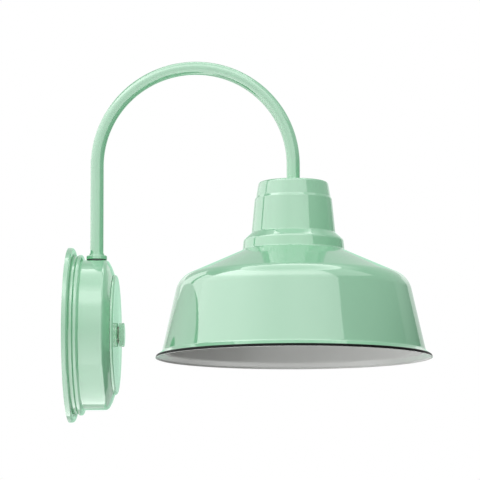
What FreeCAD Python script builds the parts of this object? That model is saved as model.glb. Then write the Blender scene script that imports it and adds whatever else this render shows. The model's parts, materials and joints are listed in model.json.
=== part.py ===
import FreeCAD, Part
import math
import os
from types import SimpleNamespace

import Sketcher

# A gooseneck wall sconce with a spun enamelled shade, in millimetres.
# The origin is the centre of the back of the wall plate, on the wall. +X points
# out into the room, +Y along the wall and +Z up.

PARTS_FOLDER = "parts"
CIRCLE_DEGREES = 360
HEX_CORNER = 1 / math.sqrt(3)
HEX_CROWN = 0.57
HEX_TURN = FreeCAD.Rotation(FreeCAD.Vector(0, 0, 1), 30)
PAN_HEAD_ROUND = 0.6
SHORTEST_RUN = 1e-6
ACROSS_X = FreeCAD.Rotation(FreeCAD.Vector(0, 1, 0), 90)
UPRIGHT = FreeCAD.Rotation()
ON_ITS_SIDE = {"X": ACROSS_X, "Z": UPRIGHT}
STANDING_SKETCH = FreeCAD.Placement(
    FreeCAD.Vector(0, 0, 0), FreeCAD.Rotation(FreeCAD.Vector(1, 0, 0), 90)
)

DRIVING_SIZES = (
    # sheet metal and clearances
    ("plate_wall", 1.5, "sheet of the wall plate and the canopy"),
    ("cover_wall", 1.2, "sheet of the front cover"),
    ("shade_wall", 1.2, "steel and enamel of the shade"),
    ("thread_play", 0.08, "radial room round a threaded piece"),
    ("screw_play", 0.2, "radial room round a screw that passes a plate"),
    ("slide_gap", 0.3, "room between pieces that move apart"),
    # wall plate
    ("flange_radius", 112.4, "outside of the rolled rim, on the wall"),
    ("rim_height", 7.0, "how far the rolled rim stands off the wall"),
    ("rim_width", 7.6, "across the rolled rim"),
    ("rim_round", 3.4, "rounding of the rolled rim"),
    ("plate_face", 3.2, "front face of the flat of the plate"),
    ("wire_hole_radius", 11.0, "hole that the supply wires come through"),
    ("box_screw_spacing", 88.9, "the two screws of a round junction box"),
    ("box_hole_radius", 2.4, "clearance for a box screw"),
    ("plate_round", 1.5, "foot of the rolled rim"),
    ("gasket_inset", 6.0, "from the rolled rim in to the foam ring"),
    ("gasket_width", 9.0, "foam ring behind the plate"),
    # canopy
    ("ring_gap", 1.6, "dark gap between the rolled rim and the canopy"),
    ("bead_start", 0.205, "where the bead begins, of the canopy's depth"),
    ("bead_height", 1.6, "how far the bead stands off its ring"),
    ("bead_width", 0.1, "across the bead, of the canopy's depth"),
    ("drum_step", 5.2, "from the ring in to the drum"),
    ("drum_back", 0.3275, "where the drum begins, of the canopy's depth"),
    ("canopy_depth", 58.0, "front face of the canopy"),
    ("shoulder_depth", 0.138, "the rounded front shoulder, of the canopy's depth"),
    ("shoulder_inset", 18.1, "from the drum in to the front land"),
    ("front_land", 12.4, "width of the land that the cover closes on"),
    ("canopy_foot", 10.0, "from the front opening in to the foot's bore"),
    ("canopy_screw_inset", 5.0, "from the foot's bore out to its screws"),
    ("ring_round", 2.2, "foot of the ring"),
    ("bead_round", 1.8, "corners of the bead"),
    ("bead_front_round", 2.4, "front corner of the bead"),
    ("drum_round", 6.0, "where drum and shoulder meet"),
    ("shoulder_share", 0.6, "of the shoulder's depth, at its middle"),
    ("shoulder_bulge", 12.0, "rounding of the shoulder's middle"),
    ("land_round", 3.0, "where shoulder and land meet"),
    # cover and its knob
    ("cover_overlap", 1.2, "the cover stops this short of the shoulder"),
    ("cover_height", 4.0, "front of the cover's land off the canopy"),
    ("cover_crown", 1.5, "rise of the cover to its middle"),
    ("cover_land", 17.0, "width of the flat land round the cover"),
    ("cover_round", 3.0, "rounded edge of the cover"),
    ("cover_bend", 60.0, "rounding where land and crown meet"),
    ("cover_middle", 40.0, "rounding round the middle of the crown"),
    ("cover_gasket_inset", 1.5, "from the opening out to the rubber ring"),
    ("knob_radius", 15.5, "thumb knob"),
    ("knob_height", 6.6, "thumb knob, off its washer"),
    ("knob_back_round", 0.5, "back edge of the knob"),
    ("knob_edge_round", 1.0, "front edge of the knob"),
    ("knob_crown", 0.6, "rise of the knob's face"),
    ("knob_crown_width", 5.0, "sloping edge of the knob's face"),
    ("knob_crown_round", 8.0, "where the slope meets the knob's face"),
    ("knob_bore_room", 2.0, "beyond the end of the stud"),
    ("knob_shank_radius", 5.0, "hollow shank behind the knob"),
    ("knob_shank_length", 12.9, "hollow shank behind the knob"),
    ("knob_travel", 6.35, "five turns of the stud's thread"),
    ("knob_washer_radius", 11.0, "nylon washer under the knob"),
    ("knob_washer_height", 1.0, "nylon washer under the knob"),
    ("clip_height", 1.0, "retaining ring on the knob's shank"),
    ("clip_width", 2.8, "retaining ring beyond the shank"),
    # centre stud and its bridge
    ("stud_radius", 3.175, "quarter inch stud"),
    ("bridge_height", 24.0, "front of the bridge off the wall"),
    ("bridge_wall", 2.0, "strap of the bridge"),
    ("bridge_width", 20.0, "strap of the bridge"),
    ("bridge_leg", 0.5714, "outside of a leg, of the foot's bore"),
    ("bridge_clear", 4.0, "from the foot's bore in to the strap's end"),
    ("bridge_tight_round", 1.5, "inside of the strap's bends"),
    ("bridge_round", 3.5, "outside of the strap's bends"),
    ("stud_point", 1.0, "chamfer of the stud's point"),
    ("stud_chamfer", 0.8, "chamfer of the stud's point, off its radius"),
    ("stud_head_radius", 6.0, "head of the stud behind the bridge"),
    ("stud_head_height", 2.5, "head of the stud behind the bridge"),
    ("stud_nut_flats", 11.1, "across flats"),
    ("stud_nut_height", 5.5, "nut on the front of the bridge"),
    # screws
    ("small_screw_radius", 2.0, "machine screws of the canopy"),
    ("small_head_radius", 4.0, "their pan heads"),
    ("small_head_height", 2.5, "their pan heads"),
    ("screw_end", 0.6, "ends of the screws stay this far off the wall"),
    ("ground_washer_radius", 5.2, "washer of the earth screw"),
    ("ground_washer_height", 1.0, "washer of the earth screw"),
    ("ground_head_radius", 4.2, "head of the earth screw"),
    ("ground_head_height", 3.4, "head of the earth screw"),
    ("ground_head_round", 0.8, "head of the earth screw"),
    ("ground_screw_across", -0.536, "place of the earth screw, of the foot's bore"),
    ("ground_screw_up", -0.5, "place of the earth screw, of the foot's bore"),
    # arm
    ("arm_forward", 0.5, "the arm stands this far in front of the drum's middle"),
    ("tube_radius", 8.575, "three eighths iron pipe size"),
    ("tube_wall", 2.1, "wall of the tube"),
    ("bend_radius", 127.0, "five inch bend, to the middle of the tube"),
    ("spring_line", 220.2, "height at which the bend starts"),
    ("drop_length", 23.6, "straight tube from the bend to the neck"),
    ("tube_inside_canopy", 16.5, "tube below the top of the drum"),
    ("collar_radius", 0.4295, "round collar, of the drum's straight length"),
    ("collar_height", 5.0, "round collar on the drum"),
    ("collar_seat", 1.1, "rubber between drum and collar"),
    ("sleeve_height", 2.8, "short sleeve above the collar"),
    ("sleeve_wall", 0.9, "short sleeve above the collar"),
    ("collar_foot_round", 0.6, "lower edge of the collar"),
    ("collar_round", 1.2, "upper edge of the collar"),
    ("sleeve_foot_round", 0.8, "where collar and sleeve meet"),
    ("sleeve_round", 0.5, "upper edge of the sleeve"),
    ("collar_seat_dip", 3.0, "how far the rubber follows the drum down"),
    ("pipe_nut_flats", 27.0, "lock nuts on the tube"),
    ("pipe_nut_height", 5.0, "lock nuts on the tube"),
    ("saddle_height", 3.5, "curved washer inside the drum, at its middle"),
    ("saddle_radius", 0.371, "curved washer, of the drum's straight length"),
    ("bushing_radius", 4.9, "bore of the plastic bushings of the tube"),
    ("bushing_height", 5.0, "how far a bushing goes into the tube"),
    ("bushing_lip", 1.0, "lip of a bushing"),
    ("bushing_inset", 0.6, "the lip is this much smaller than the tube"),
    # shade
    ("shade_diameter", 355.6, "fourteen inches across the lip"),
    ("shade_height", 227.4, "top of the neck to the lip"),
    ("neck_radius", 44.6, "top of the neck"),
    ("neck_round", 3.9, "rounded top edge of the neck"),
    ("step_round", 2.0, "corners of the neck's step and waist"),
    ("cap_height", 19.4, "upper cone of the neck"),
    ("cap_taper", 3.3, "how much the upper cone widens"),
    ("step_height", 3.0, "step under the upper cone"),
    ("step_width", 1.8, "step under the upper cone"),
    ("neck_height", 66.5, "top of the neck to its bell"),
    ("neck_taper", 4.3, "how much the lower cone widens"),
    ("bell_width", 10.2, "how far the bell stands out"),
    ("bell_rise", 8.9, "height of the bell's slope"),
    ("bell_height", 22.4, "whole height of the bell"),
    ("bell_taper", 1.4, "how much the bell widens below its slope"),
    ("bell_round", 5.0, "upper corner of the bell"),
    ("bell_foot_round", 2.5, "where bell and shoulder meet"),
    ("shoulder_drop", 125.6, "top of the neck to the shoulder's corner"),
    ("shoulder_round", 29.0, "rounding of the shoulder"),
    ("skirt_taper", 21.0, "how much the skirt widens"),
    ("lip_width", 8.7, "how far the lip stands out"),
    ("lip_height", 8.1, "height of the lip"),
    ("lip_turn", 0.9, "last turn of the lip"),
    ("lip_edge", 2.8, "height of the last turn"),
    ("lip_round", 4.0, "where skirt and lip meet"),
    ("lip_turn_round", 2.5, "where the lip turns down"),
    # hub and lamp holder
    ("hub_radius", 24.0, "flange of the hub under the top of the neck"),
    ("hub_flange", 3.0, "flange of the hub"),
    ("hub_boss_radius", 14.0, "threaded boss"),
    ("hub_length", 15.0, "threaded boss"),
    ("hub_boss_round", 1.0, "lower edge of the boss"),
    ("hub_fillet", 1.5, "where boss and flange meet"),
    ("hub_flange_round", 0.8, "lower edge of the flange"),
    ("holder_radius", 22.0, "steel cap of the lamp holder"),
    ("holder_wall", 1.2, "sheet of the cap"),
    ("holder_depth", 33.0, "steel cap of the lamp holder"),
    ("holder_round", 3.0, "shoulder of the cap"),
    ("cap_screw_radius", 1.5, "side screws of the cap"),
    ("cap_screw_head_radius", 2.8, "side screws of the cap"),
    ("cap_screw_head_height", 1.8, "side screws of the cap"),
    ("cap_screw_head_round", 1.0, "side screws of the cap"),
    ("cap_screw_depth", 6.0, "side screws, in from the cap's outside"),
    ("cap_screw_rise", 4.5, "side screws above the cap's edge"),
    ("tube_below_nut", 3.0, "thread showing under the lock nut"),
    ("porcelain_inset", 24.0, "top of the porcelain, inside the cap"),
    ("porcelain_height", 47.0, "whole porcelain body"),
    ("porcelain_lip", 1.2, "the body is this much wider than the cap"),
    ("porcelain_gap", 0.5, "between the cap's edge and the porcelain's ledge"),
    ("porcelain_mouth_round", 0.8, "inner edge of the mouth"),
    ("porcelain_foot_round", 2.5, "outer edge of the mouth"),
    ("porcelain_ledge_round", 1.5, "edge of the ledge under the cap"),
    ("porcelain_top_round", 1.0, "top edge inside the cap"),
    ("cavity_radius", 14.4, "bore for the screw shell"),
    ("web_height", 15.0, "porcelain between terminals and shell"),
    ("shell_radius", 13.4, "inside of the screw shell"),
    ("shell_wall", 0.5, "brass sheet"),
    ("shell_round", 1.5, "corner of the shell's flange"),
    ("shell_rise", 2.0, "the shell ends this far inside the mouth"),
    ("shell_flange_gap", 3.0, "between the contact and the shell's flange"),
    ("contact_radius", 4.2, "centre contact"),
    ("contact_height", 2.5, "centre contact"),
    ("contact_stem", 1.8, "rivet of the centre contact"),
    ("contact_round", 1.0, "edge of the centre contact"),
    ("rivet_radius", 1.5, "rivet of the neutral terminal"),
    ("terminal_reach", 13.0, "terminal screws off the axis"),
    ("terminal_wall", 1.0, "terminal plates"),
    ("terminal_width", 6.5, "terminal plates"),
    ("terminal_head_radius", 3.0, "terminal screws"),
    ("terminal_head_height", 2.2, "terminal screws"),
    ("terminal_head_round", 0.8, "terminal screws"),
    ("terminal_edge", 3.5, "plate beyond the middle of its screw"),
    ("live_plate_end", 2.5, "live plate beyond the axis"),
    ("neutral_plate_end", 3.2, "neutral plate beyond its rivet"),
    ("terminal_corner", 1.0, "inner corners of a terminal plate"),
    ("terminal_end_corner", 2.0, "outer corners of a terminal plate"),
    ("neutral_stem_reach", 9.8, "rivet from terminal to shell"),
    # wires
    ("lead_radius", 1.1, "wire with its insulation"),
    ("lead_spacing", 3.4, "between the two leads in the tube"),
    ("lead_bend", 0.8, "bends of the leads in the canopy, of the room they have"),
    ("lead_fall", 22.0, "from the tube down to where the leads part"),
    ("nut_reach", 0.43, "wire nuts off the middle, of the foot's bore"),
    ("nut_fall", 16.0, "from there down to the wire nuts' mouths"),
    ("nut_length", 24.0, "wire nut"),
    ("nut_radius", 7.2, "mouth of a wire nut"),
    ("nut_tip_radius", 4.4, "closed end of a wire nut"),
    ("nut_bore", 3.4, "inside of a wire nut"),
    ("nut_depth", 12.0, "inside of a wire nut"),
    ("nut_tip_round", 2.0, "closed end of a wire nut"),
    ("nut_skirt", 6.0, "straight mouth of a wire nut"),
    ("nut_skirt_round", 3.0, "where cone and mouth meet"),
    ("nut_mouth_round", 0.6, "edge of the mouth"),
    ("earth_nut_rise", 6.0, "mouth of the earth nut above the earth screw"),
    ("earth_rise", 0.44643, "turn of the earth lead above its screw, of the foot's bore"),
    ("earth_lead_off", 2.6, "middle of the earth lead off the plate"),
    ("bend_slack", 0.01, "straight left between two bends of a lead"),
    ("terminal_rise", 0.3, "straight end of a lead on its screw"),
    # bulb
    ("bulb_length", 110.0, "contact to tip"),
    ("bulb_radius", 30.15, "widest glass"),
    ("bulb_tip_round", 29.5, "round end of the glass"),
    ("bulb_waist", 48.0, "tip to the corner above the widest glass"),
    ("bulb_neck_radius", 13.0, "glass at the screw cap"),
    ("bulb_neck", 74.0, "tip to the neck of the glass"),
    ("bulb_waist_round", 30.0, "corner above the widest glass"),
    ("bulb_neck_round", 20.0, "corner at the neck of the glass"),
    ("bulb_stem_round", 2.0, "corner where the glass enters the cap"),
    ("bulb_stem_length", 4.5, "straight glass inside the cap"),
    ("bulb_glass_depth", 4.0, "glass beyond the cap's edge"),
    ("bulb_cement", 0.3, "between the glass and the cap"),
    ("bulb_glass_wall", 0.8, "glass"),
    ("bulb_cap_radius", 13.1, "screw cap, over its thread"),
    ("bulb_cap_length", 27.0, "contact to the end of the screw cap"),
    ("bulb_cap_wall", 0.4, "sheet of the screw cap"),
    ("bulb_cap_round", 1.2, "shoulder of the screw cap"),
    ("bulb_cap_mouth", 9.0, "hole that the insulator fills"),
    ("bulb_cap_slope", 1.5, "rise of the cap's shoulder"),
    ("bulb_button_radius", 4.6, "contact of the bulb"),
    ("bulb_button_height", 1.2, "contact of the bulb"),
    ("bulb_button_round", 1.0, "edge of the contact"),
    ("bulb_insulator_height", 6.5, "glass ring round the contact"),
    ("insulator_inset", 0.1, "inside the cap's hole"),
    ("insulator_foot", 2.2, "foot of the insulator above the cap's shoulder"),
    ("insulator_foot_round", 0.5, "foot of the insulator"),
    ("insulator_margin", 0.6, "insulator beyond the contact"),
    ("insulator_round", 0.8, "edge of the insulator"),
)


class Size:
    """A length with its formula, so that sums of sizes stay tied to the sheet."""

    def __init__(self, text, value):
        self.text = text
        self.value = float(value)

    def joined(self, sign, other, value):
        return Size(f"({self.text} {sign} {other.text})", value)

    def __add__(self, other):
        other = as_size(other)
        return self.joined("+", other, self.value + other.value)

    def __sub__(self, other):
        other = as_size(other)
        return self.joined("-", other, self.value - other.value)

    def __mul__(self, other):
        other = as_size(other)
        return self.joined("*", other, self.value * other.value)

    def __truediv__(self, other):
        other = as_size(other)
        return self.joined("/", other, self.value / other.value)

    def __radd__(self, other):
        return as_size(other) + self

    def __rsub__(self, other):
        return as_size(other) - self

    def __rmul__(self, other):
        return as_size(other) * self

    def __neg__(self):
        return Size(f"(-{self.text})", -self.value)


def as_size(number):
    if isinstance(number, Size):
        return number
    return Size(f"{number:.9g}", number)


def fill_sheet(doc):
    """Write every driving size into the sheet and give each by its name."""
    sheet = doc.addObject("Spreadsheet::Sheet", "Sizes")
    sizes = SimpleNamespace()
    for row, (name, value, note) in enumerate(DRIVING_SIZES, start=1):
        sheet.set(f"A{row}", name)
        sheet.set(f"B{row}", f"{value}")
        sheet.set(f"C{row}", note)
        sheet.setAlias(f"B{row}", name)
        setattr(sizes, name, Size(f"Sizes.{name}", value))
    return sizes


DOC = FreeCAD.newDocument("gooseneck_wall_sconce")
S = fill_sheet(DOC)
SUBPARTS = []

# Places that several pieces share, worked out from the driving sizes.
PLATE_BACK = S.plate_face - S.plate_wall
RING_RADIUS = S.flange_radius - S.rim_width - S.ring_gap - S.plate_wall
DRUM_RADIUS = RING_RADIUS - S.drum_step
DRUM_INSIDE = DRUM_RADIUS - S.plate_wall
BEAD_START = S.canopy_depth * S.bead_start
BEAD_END = BEAD_START + S.canopy_depth * S.bead_width
DRUM_BACK = S.canopy_depth * S.drum_back
SHOULDER_DEPTH = S.canopy_depth * S.shoulder_depth
DRUM_FRONT = S.canopy_depth - SHOULDER_DEPTH
DRUM_LENGTH = DRUM_FRONT - DRUM_BACK
LAND_RADIUS = DRUM_RADIUS - S.shoulder_inset
OPENING_RADIUS = LAND_RADIUS - S.front_land
FOOT_BORE = OPENING_RADIUS - S.canopy_foot
FOOT_FACE = S.plate_face + S.plate_wall
COVER_RADIUS = LAND_RADIUS - S.cover_overlap
COVER_FACE = S.canopy_depth + S.cover_height
COVER_TOP = COVER_FACE + S.cover_crown
SHANK_HOLE = S.knob_shank_radius + S.screw_play
WASHER_BACK = COVER_TOP + S.screw_play
KNOB_BACK = WASHER_BACK + S.knob_washer_height + S.thread_play
SHANK_END = KNOB_BACK - S.knob_shank_length
STUD_END = SHANK_END + S.knob_travel - S.slide_gap
CLIP_FRONT = COVER_TOP - S.cover_wall - S.knob_travel - S.screw_play
STUD_BORE = S.stud_radius + S.thread_play
BRIDGE_END = FOOT_BORE - S.bridge_clear
BRIDGE_LEG = FOOT_BORE * S.bridge_leg
BRIDGE_SCREW = (BRIDGE_END + BRIDGE_LEG) / 2
SCREW_THREAD = S.small_screw_radius + S.thread_play
GROUND_ACROSS = FOOT_BORE * S.ground_screw_across
GROUND_UP = FOOT_BORE * S.ground_screw_up

ARM_AXIS = (DRUM_BACK + DRUM_FRONT) / 2 + S.arm_forward
COLLAR_RADIUS = DRUM_LENGTH * S.collar_radius
SHADE_AXIS = ARM_AXIS + 2 * S.bend_radius
NECK_TOP = S.spring_line - S.drop_length
PIPE_BORE = S.tube_radius + S.thread_play
TUBE_BORE = S.tube_radius - S.tube_wall
TUBE_FOOT = DRUM_RADIUS - S.tube_inside_canopy
COLLAR_BACK = DRUM_RADIUS + S.collar_seat
LEAD_CROSSING = TUBE_FOOT - S.lead_fall
NUT_MOUTH = LEAD_CROSSING - S.nut_fall
NUT_REACH = FOOT_BORE * S.nut_reach
EARTH_NUT_MOUTH = GROUND_UP + S.earth_nut_rise
EARTH_TURN = GROUND_UP + FOOT_BORE * S.earth_rise
SADDLE_FOOT = DRUM_INSIDE - S.saddle_height
UNDER_TOP = NECK_TOP - S.shade_wall
HOLDER_TOP = UNDER_TOP - S.hub_length
HOLDER_NUT_TOP = HOLDER_TOP - S.holder_wall
TUBE_HEAD = HOLDER_NUT_TOP - S.pipe_nut_height - S.tube_below_nut
HOLDER_FOOT = HOLDER_TOP - S.holder_depth
CAP_SCREW_UP = HOLDER_FOOT + S.cap_screw_rise
PORCELAIN_TOP = HOLDER_TOP - S.porcelain_inset
PORCELAIN_FOOT = PORCELAIN_TOP - S.porcelain_height
CAVITY_TOP = PORCELAIN_TOP - S.web_height
CONTACT_FOOT = CAVITY_TOP - S.contact_height
BULB_TOP = CONTACT_FOOT - S.slide_gap
BULB_TIP = BULB_TOP - S.bulb_length
SHADE_RADIUS = S.shade_diameter / 2
SKIRT_RADIUS = SHADE_RADIUS - S.lip_width
SHOULDER_RADIUS = SKIRT_RADIUS - S.skirt_taper


def bind(thing, name, amount):
    thing.setExpression(name, as_size(amount).text)


def place(thing, x=0, y=0, z=0):
    for axis, amount in (("x", x), ("y", y), ("z", z)):
        bind(thing, f"Placement.Base.{axis}", amount)


def keep(thing, label):
    """Give a finished piece its name and count it as one sub-part."""
    thing.Label = label
    SUBPARTS.append(thing)
    return thing


# ---- sketches -------------------------------------------------------------


def rounded_corner(before, corner, after, radius):
    """Where the rounding starts and ends, and the middle of its arc."""
    back = (before - corner).normalize()
    ahead = (after - corner).normalize()
    half = back.getAngle(ahead) / 2
    reach = radius / math.tan(half)
    middle = corner + (back + ahead).normalize() * (radius / math.sin(half))
    return corner + back * reach, corner + ahead * reach, middle


def add_arc(sketch, start, end, middle, radius):
    """Draw the short arc; say which of its ends is the start."""
    first = math.atan2(start.y - middle.y, start.x - middle.x)
    last = math.atan2(end.y - middle.y, end.x - middle.x)
    clockwise = (last - first) % (2 * math.pi) > math.pi
    circle = Part.Circle(middle, FreeCAD.Vector(0, 0, 1), radius)
    if clockwise:
        return sketch.addGeometry(Part.ArcOfCircle(circle, last, first)), 2, 1
    return sketch.addGeometry(Part.ArcOfCircle(circle, first, last)), 1, 2


def fix_distance(sketch, kind, geometry, position, amount):
    rule = Sketcher.Constraint(kind, -1, 1, geometry, position, amount.value)
    index = sketch.addConstraint(rule)
    sketch.setExpression(f"Constraints[{index}]", amount.text)


def fix_point(sketch, geometry, position, across, up):
    fix_distance(sketch, "DistanceX", geometry, position, across)
    fix_distance(sketch, "DistanceY", geometry, position, up)


def fix_radius(sketch, geometry, radius):
    index = sketch.addConstraint(Sketcher.Constraint("Radius", geometry, radius.value))
    sketch.setExpression(f"Constraints[{index}]", radius.text)


def draw_outline(sketch, corners, closed=True):
    """Straight lines through the corners. A third number rounds its corner."""
    places = [(as_size(corner[0]), as_size(corner[1])) for corner in corners]
    rounds = [as_size(corner[2]) if len(corner) > 2 else None for corner in corners]
    points = [FreeCAD.Vector(across.value, up.value, 0) for across, up in places]
    count = len(points)
    ends = []
    for i in range(count):
        if rounds[i] is None:
            ends.append((points[i], points[i], None))
        else:
            after = points[(i + 1) % count]
            ends.append(rounded_corner(points[i - 1], points[i], after, rounds[i].value))
    lines = []
    for i in range(count if closed else count - 1):
        line = Part.LineSegment(ends[i][1], ends[(i + 1) % count][0])
        lines.append(sketch.addGeometry(line))
    for i in range(count):
        before = lines[i - 1] if closed or i > 0 else None
        after = lines[i] if closed or i < count - 1 else None
        if rounds[i] is not None:
            join_rounded(sketch, before, after, points[i], places[i], ends[i], rounds[i])
            continue
        if before is not None and after is not None:
            sketch.addConstraint(Sketcher.Constraint("Coincident", before, 2, after, 1))
        if after is not None:
            fix_point(sketch, after, 1, *places[i])
        else:
            fix_point(sketch, before, 2, *places[i])


def join_rounded(sketch, before, after, point, at, ends, radius):
    """An arc tangent to both lines, whose lines would meet at the corner."""
    arc, start, end = add_arc(sketch, ends[0], ends[1], ends[2], radius.value)
    corner = sketch.addGeometry(Part.Point(point), True)
    sketch.addConstraint(
        [
            Sketcher.Constraint("Tangent", before, 2, arc, start),
            Sketcher.Constraint("Tangent", after, 1, arc, end),
            Sketcher.Constraint("PointOnObject", corner, 1, before),
            Sketcher.Constraint("PointOnObject", corner, 1, after),
        ]
    )
    fix_radius(sketch, arc, radius)
    fix_point(sketch, corner, 1, *at)


def draw_circle(sketch, across, up, radius):
    across, up, radius = as_size(across), as_size(up), as_size(radius)
    centre = FreeCAD.Vector(across.value, up.value, 0)
    circle = Part.Circle(centre, FreeCAD.Vector(0, 0, 1), radius.value)
    geometry = sketch.addGeometry(circle)
    fix_point(sketch, geometry, 3, across, up)
    fix_radius(sketch, geometry, radius)


# ---- features -------------------------------------------------------------


def new_body(name):
    return DOC.addObject("PartDesign::Body", f"{name}_body")


def body_sketch(body, role, name):
    """An empty sketch on one of the body's own origin planes."""
    sketch = body.newObject("Sketcher::SketchObject", name)
    planes = body.Origin.OriginFeatures
    sketch.AttachmentSupport = [(next(p for p in planes if p.Role == role), "")]
    sketch.MapMode = "FlatFace"
    return sketch


def turned(name, corners, along="Z", x=0, y=0, z=0):
    """A solid of revolution: corners (radius, height), or (length, radius) along X."""
    body = new_body(name)
    sketch = body_sketch(body, "XZ_Plane", f"{name}_profile")
    draw_outline(sketch, corners)
    spin = body.newObject("PartDesign::Revolution", f"{name}_turned")
    spin.Profile = sketch
    spin.ReferenceAxis = (sketch, ["V_Axis" if along == "Z" else "H_Axis"])
    spin.Angle = CIRCLE_DEGREES
    place(body, x, y, z)
    return body


def spun_sheet(name, corners, wall, along="Z", x=0, z=0):
    """A sheet spun about an axis, from the open line of one of its faces."""
    line = DOC.addObject("Sketcher::SketchObject", f"{name}_line")
    line.Placement = STANDING_SKETCH
    draw_outline(line, corners, closed=False)
    section = DOC.addObject("Part::Offset2D", f"{name}_section")
    section.Source = line
    section.Mode = "Skin"
    section.Join = "Intersection"
    section.Fill = True
    bind(section, "Value", wall)
    shell = DOC.addObject("Part::Revolution", f"{name}_spun")
    shell.Source = section
    shell.Axis = FreeCAD.Vector(0, 0, 1) if along == "Z" else FreeCAD.Vector(1, 0, 0)
    shell.Angle = CIRCLE_DEGREES
    shell.Solid = True
    place(shell, x, 0, z)
    return shell


def rod(name, radius, length, along, x=0, y=0, z=0):
    """A cylinder that starts at a point and runs along an axis."""
    cylinder = DOC.addObject("Part::Cylinder", name)
    bind(cylinder, "Radius", radius)
    bind(cylinder, "Height", length)
    cylinder.Placement = FreeCAD.Placement(FreeCAD.Vector(), ON_ITS_SIDE[along])
    place(cylinder, x, y, z)
    return cylinder


def cut(name, solid, tools):
    """The solid with the tools taken away."""
    tool = tools[0]
    if len(tools) > 1:
        tool = DOC.addObject("Part::MultiFuse", f"{name}_tools")
        tool.Shapes = tools
    result = DOC.addObject("Part::Cut", f"{name}_cut")
    result.Base = solid
    result.Tool = tool
    return result


def common(name, first, second):
    result = DOC.addObject("Part::Common", f"{name}_common")
    result.Base = first
    result.Tool = second
    return result


def group(name, solids):
    result = DOC.addObject("Part::Compound", f"{name}_group")
    result.Links = solids
    return result


def pan_screw(name, radius, head_radius, head_height, length, x=0, y=0, z=0):
    """A pan-head screw along X, its head out in the room, placed at its seat."""
    corners = [
        (-length, 0),
        (-length, radius),
        (0, radius),
        (0, head_radius),
        (head_height, head_radius, head_height * PAN_HEAD_ROUND),
        (head_height, 0),
    ]
    return turned(name, corners, along="X", x=x, y=y, z=z)


def hex_nut(name, flats, bore, height, low, x=0):
    """A hexagon nut with crowned corners about an upright axis."""
    block = DOC.addObject("Part::Prism", f"{name}_hexagon")
    block.Polygon = 6
    bind(block, "Circumradius", flats * HEX_CORNER)
    bind(block, "Height", height)
    block.Placement = FreeCAD.Placement(FreeCAD.Vector(), HEX_TURN)
    place(block, x, 0, low)
    crown = DOC.addObject("Part::Sphere", f"{name}_crown")
    bind(crown, "Radius", flats * HEX_CROWN)
    place(crown, x, 0, low + height / 2)
    blank = common(name, block, crown)
    return cut(name, blank, [rod(f"{name}_bore", bore, height + 2, "Z", x=x, z=low - 1)])


def routed_wire(points, bends):
    """Straight runs through the points, joined by tangent arcs of the bends."""
    edges = []
    start = points[0]
    for i in range(1, len(points) - 1):
        first, last, middle = rounded_corner(points[i - 1], points[i], points[i + 1], bends[i - 1])
        inside = (points[i] - middle).normalize() * bends[i - 1] + middle
        if (first - start).Length > SHORTEST_RUN:
            edges.append(Part.LineSegment(start, first).toShape())
        edges.append(Part.Arc(first, inside, last).toShape())
        start = last
    edges.append(Part.LineSegment(start, points[-1]).toShape())
    return edges


def lead(label, edges, radius):
    """Insulated wire along a line of edges, checked against section times length."""
    path = Part.Wire(edges)
    first = edges[0].firstVertex().Point
    ahead = edges[0].tangentAt(edges[0].FirstParameter)
    circle = Part.Wire(Part.makeCircle(radius, first, ahead))
    solid = path.makePipeShell([circle], True, False)
    expected = math.pi * radius**2 * path.Length
    if abs(solid.Volume - expected) > expected / 100:
        raise ValueError(f"{label}: volume {solid.Volume:.0f}, expected {expected:.0f}")
    piece = DOC.addObject("Part::Feature", f"{label}_run")
    piece.Shape = solid
    piece.Placement = FreeCAD.Placement()
    return keep(piece, label)


# ---- wall plate and canopy --------------------------------------------------


def wall_plate():
    """Pressed disc with a rolled rim, a wire hole and two junction-box holes."""
    rim_foot = S.flange_radius - S.rim_width
    line = [
        (S.plate_face, S.wire_hole_radius),
        (S.plate_face, rim_foot - S.plate_wall, S.plate_round),
        (S.rim_height, rim_foot, S.rim_round),
        (S.rim_height, S.flange_radius, S.rim_round),
        (0, S.flange_radius),
    ]
    disc = spun_sheet("wall_plate", line, S.plate_wall, along="X")
    holes = []
    for side in (-1, 1):
        across = S.box_screw_spacing * (side / 2)
        holes.append(plate_hole(f"box_hole_{side + 1}", S.box_hole_radius, across, 0))
        holes.append(plate_hole(f"bridge_hole_{side + 1}", SCREW_THREAD, 0, BRIDGE_SCREW * side))
    for number, (across, up) in enumerate(canopy_screw_places()):
        holes.append(plate_hole(f"canopy_hole_{number}", SCREW_THREAD, across, up))
    ground = (GROUND_ACROSS, GROUND_UP)
    holes.append(plate_hole("ground_hole", SCREW_THREAD, *ground))
    keep(cut("wall_plate", disc, holes), "wall_plate")


def plate_hole(name, radius, across, up, depth=None):
    """A hole through the flat plates behind the canopy."""
    if depth is None:
        depth = S.plate_face
    return rod(name, radius, depth, "X", x=S.screw_end, y=across, z=up)


def canopy_screw_places():
    """Four places at 45 degrees on the foot of the canopy."""
    reach = (FOOT_BORE + S.canopy_screw_inset) * math.sqrt(0.5)
    return [(reach * across, reach * up) for across in (-1, 1) for up in (-1, 1)]


def wall_gasket():
    """Foam ring between the flat of the plate and the wall."""
    outer = S.flange_radius - S.rim_width - S.gasket_inset
    inner = outer - S.gasket_width
    corners = [(0, inner), (PLATE_BACK, inner), (PLATE_BACK, outer), (0, outer)]
    keep(turned("wall_gasket", corners, along="X"), "wall_gasket")


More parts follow.
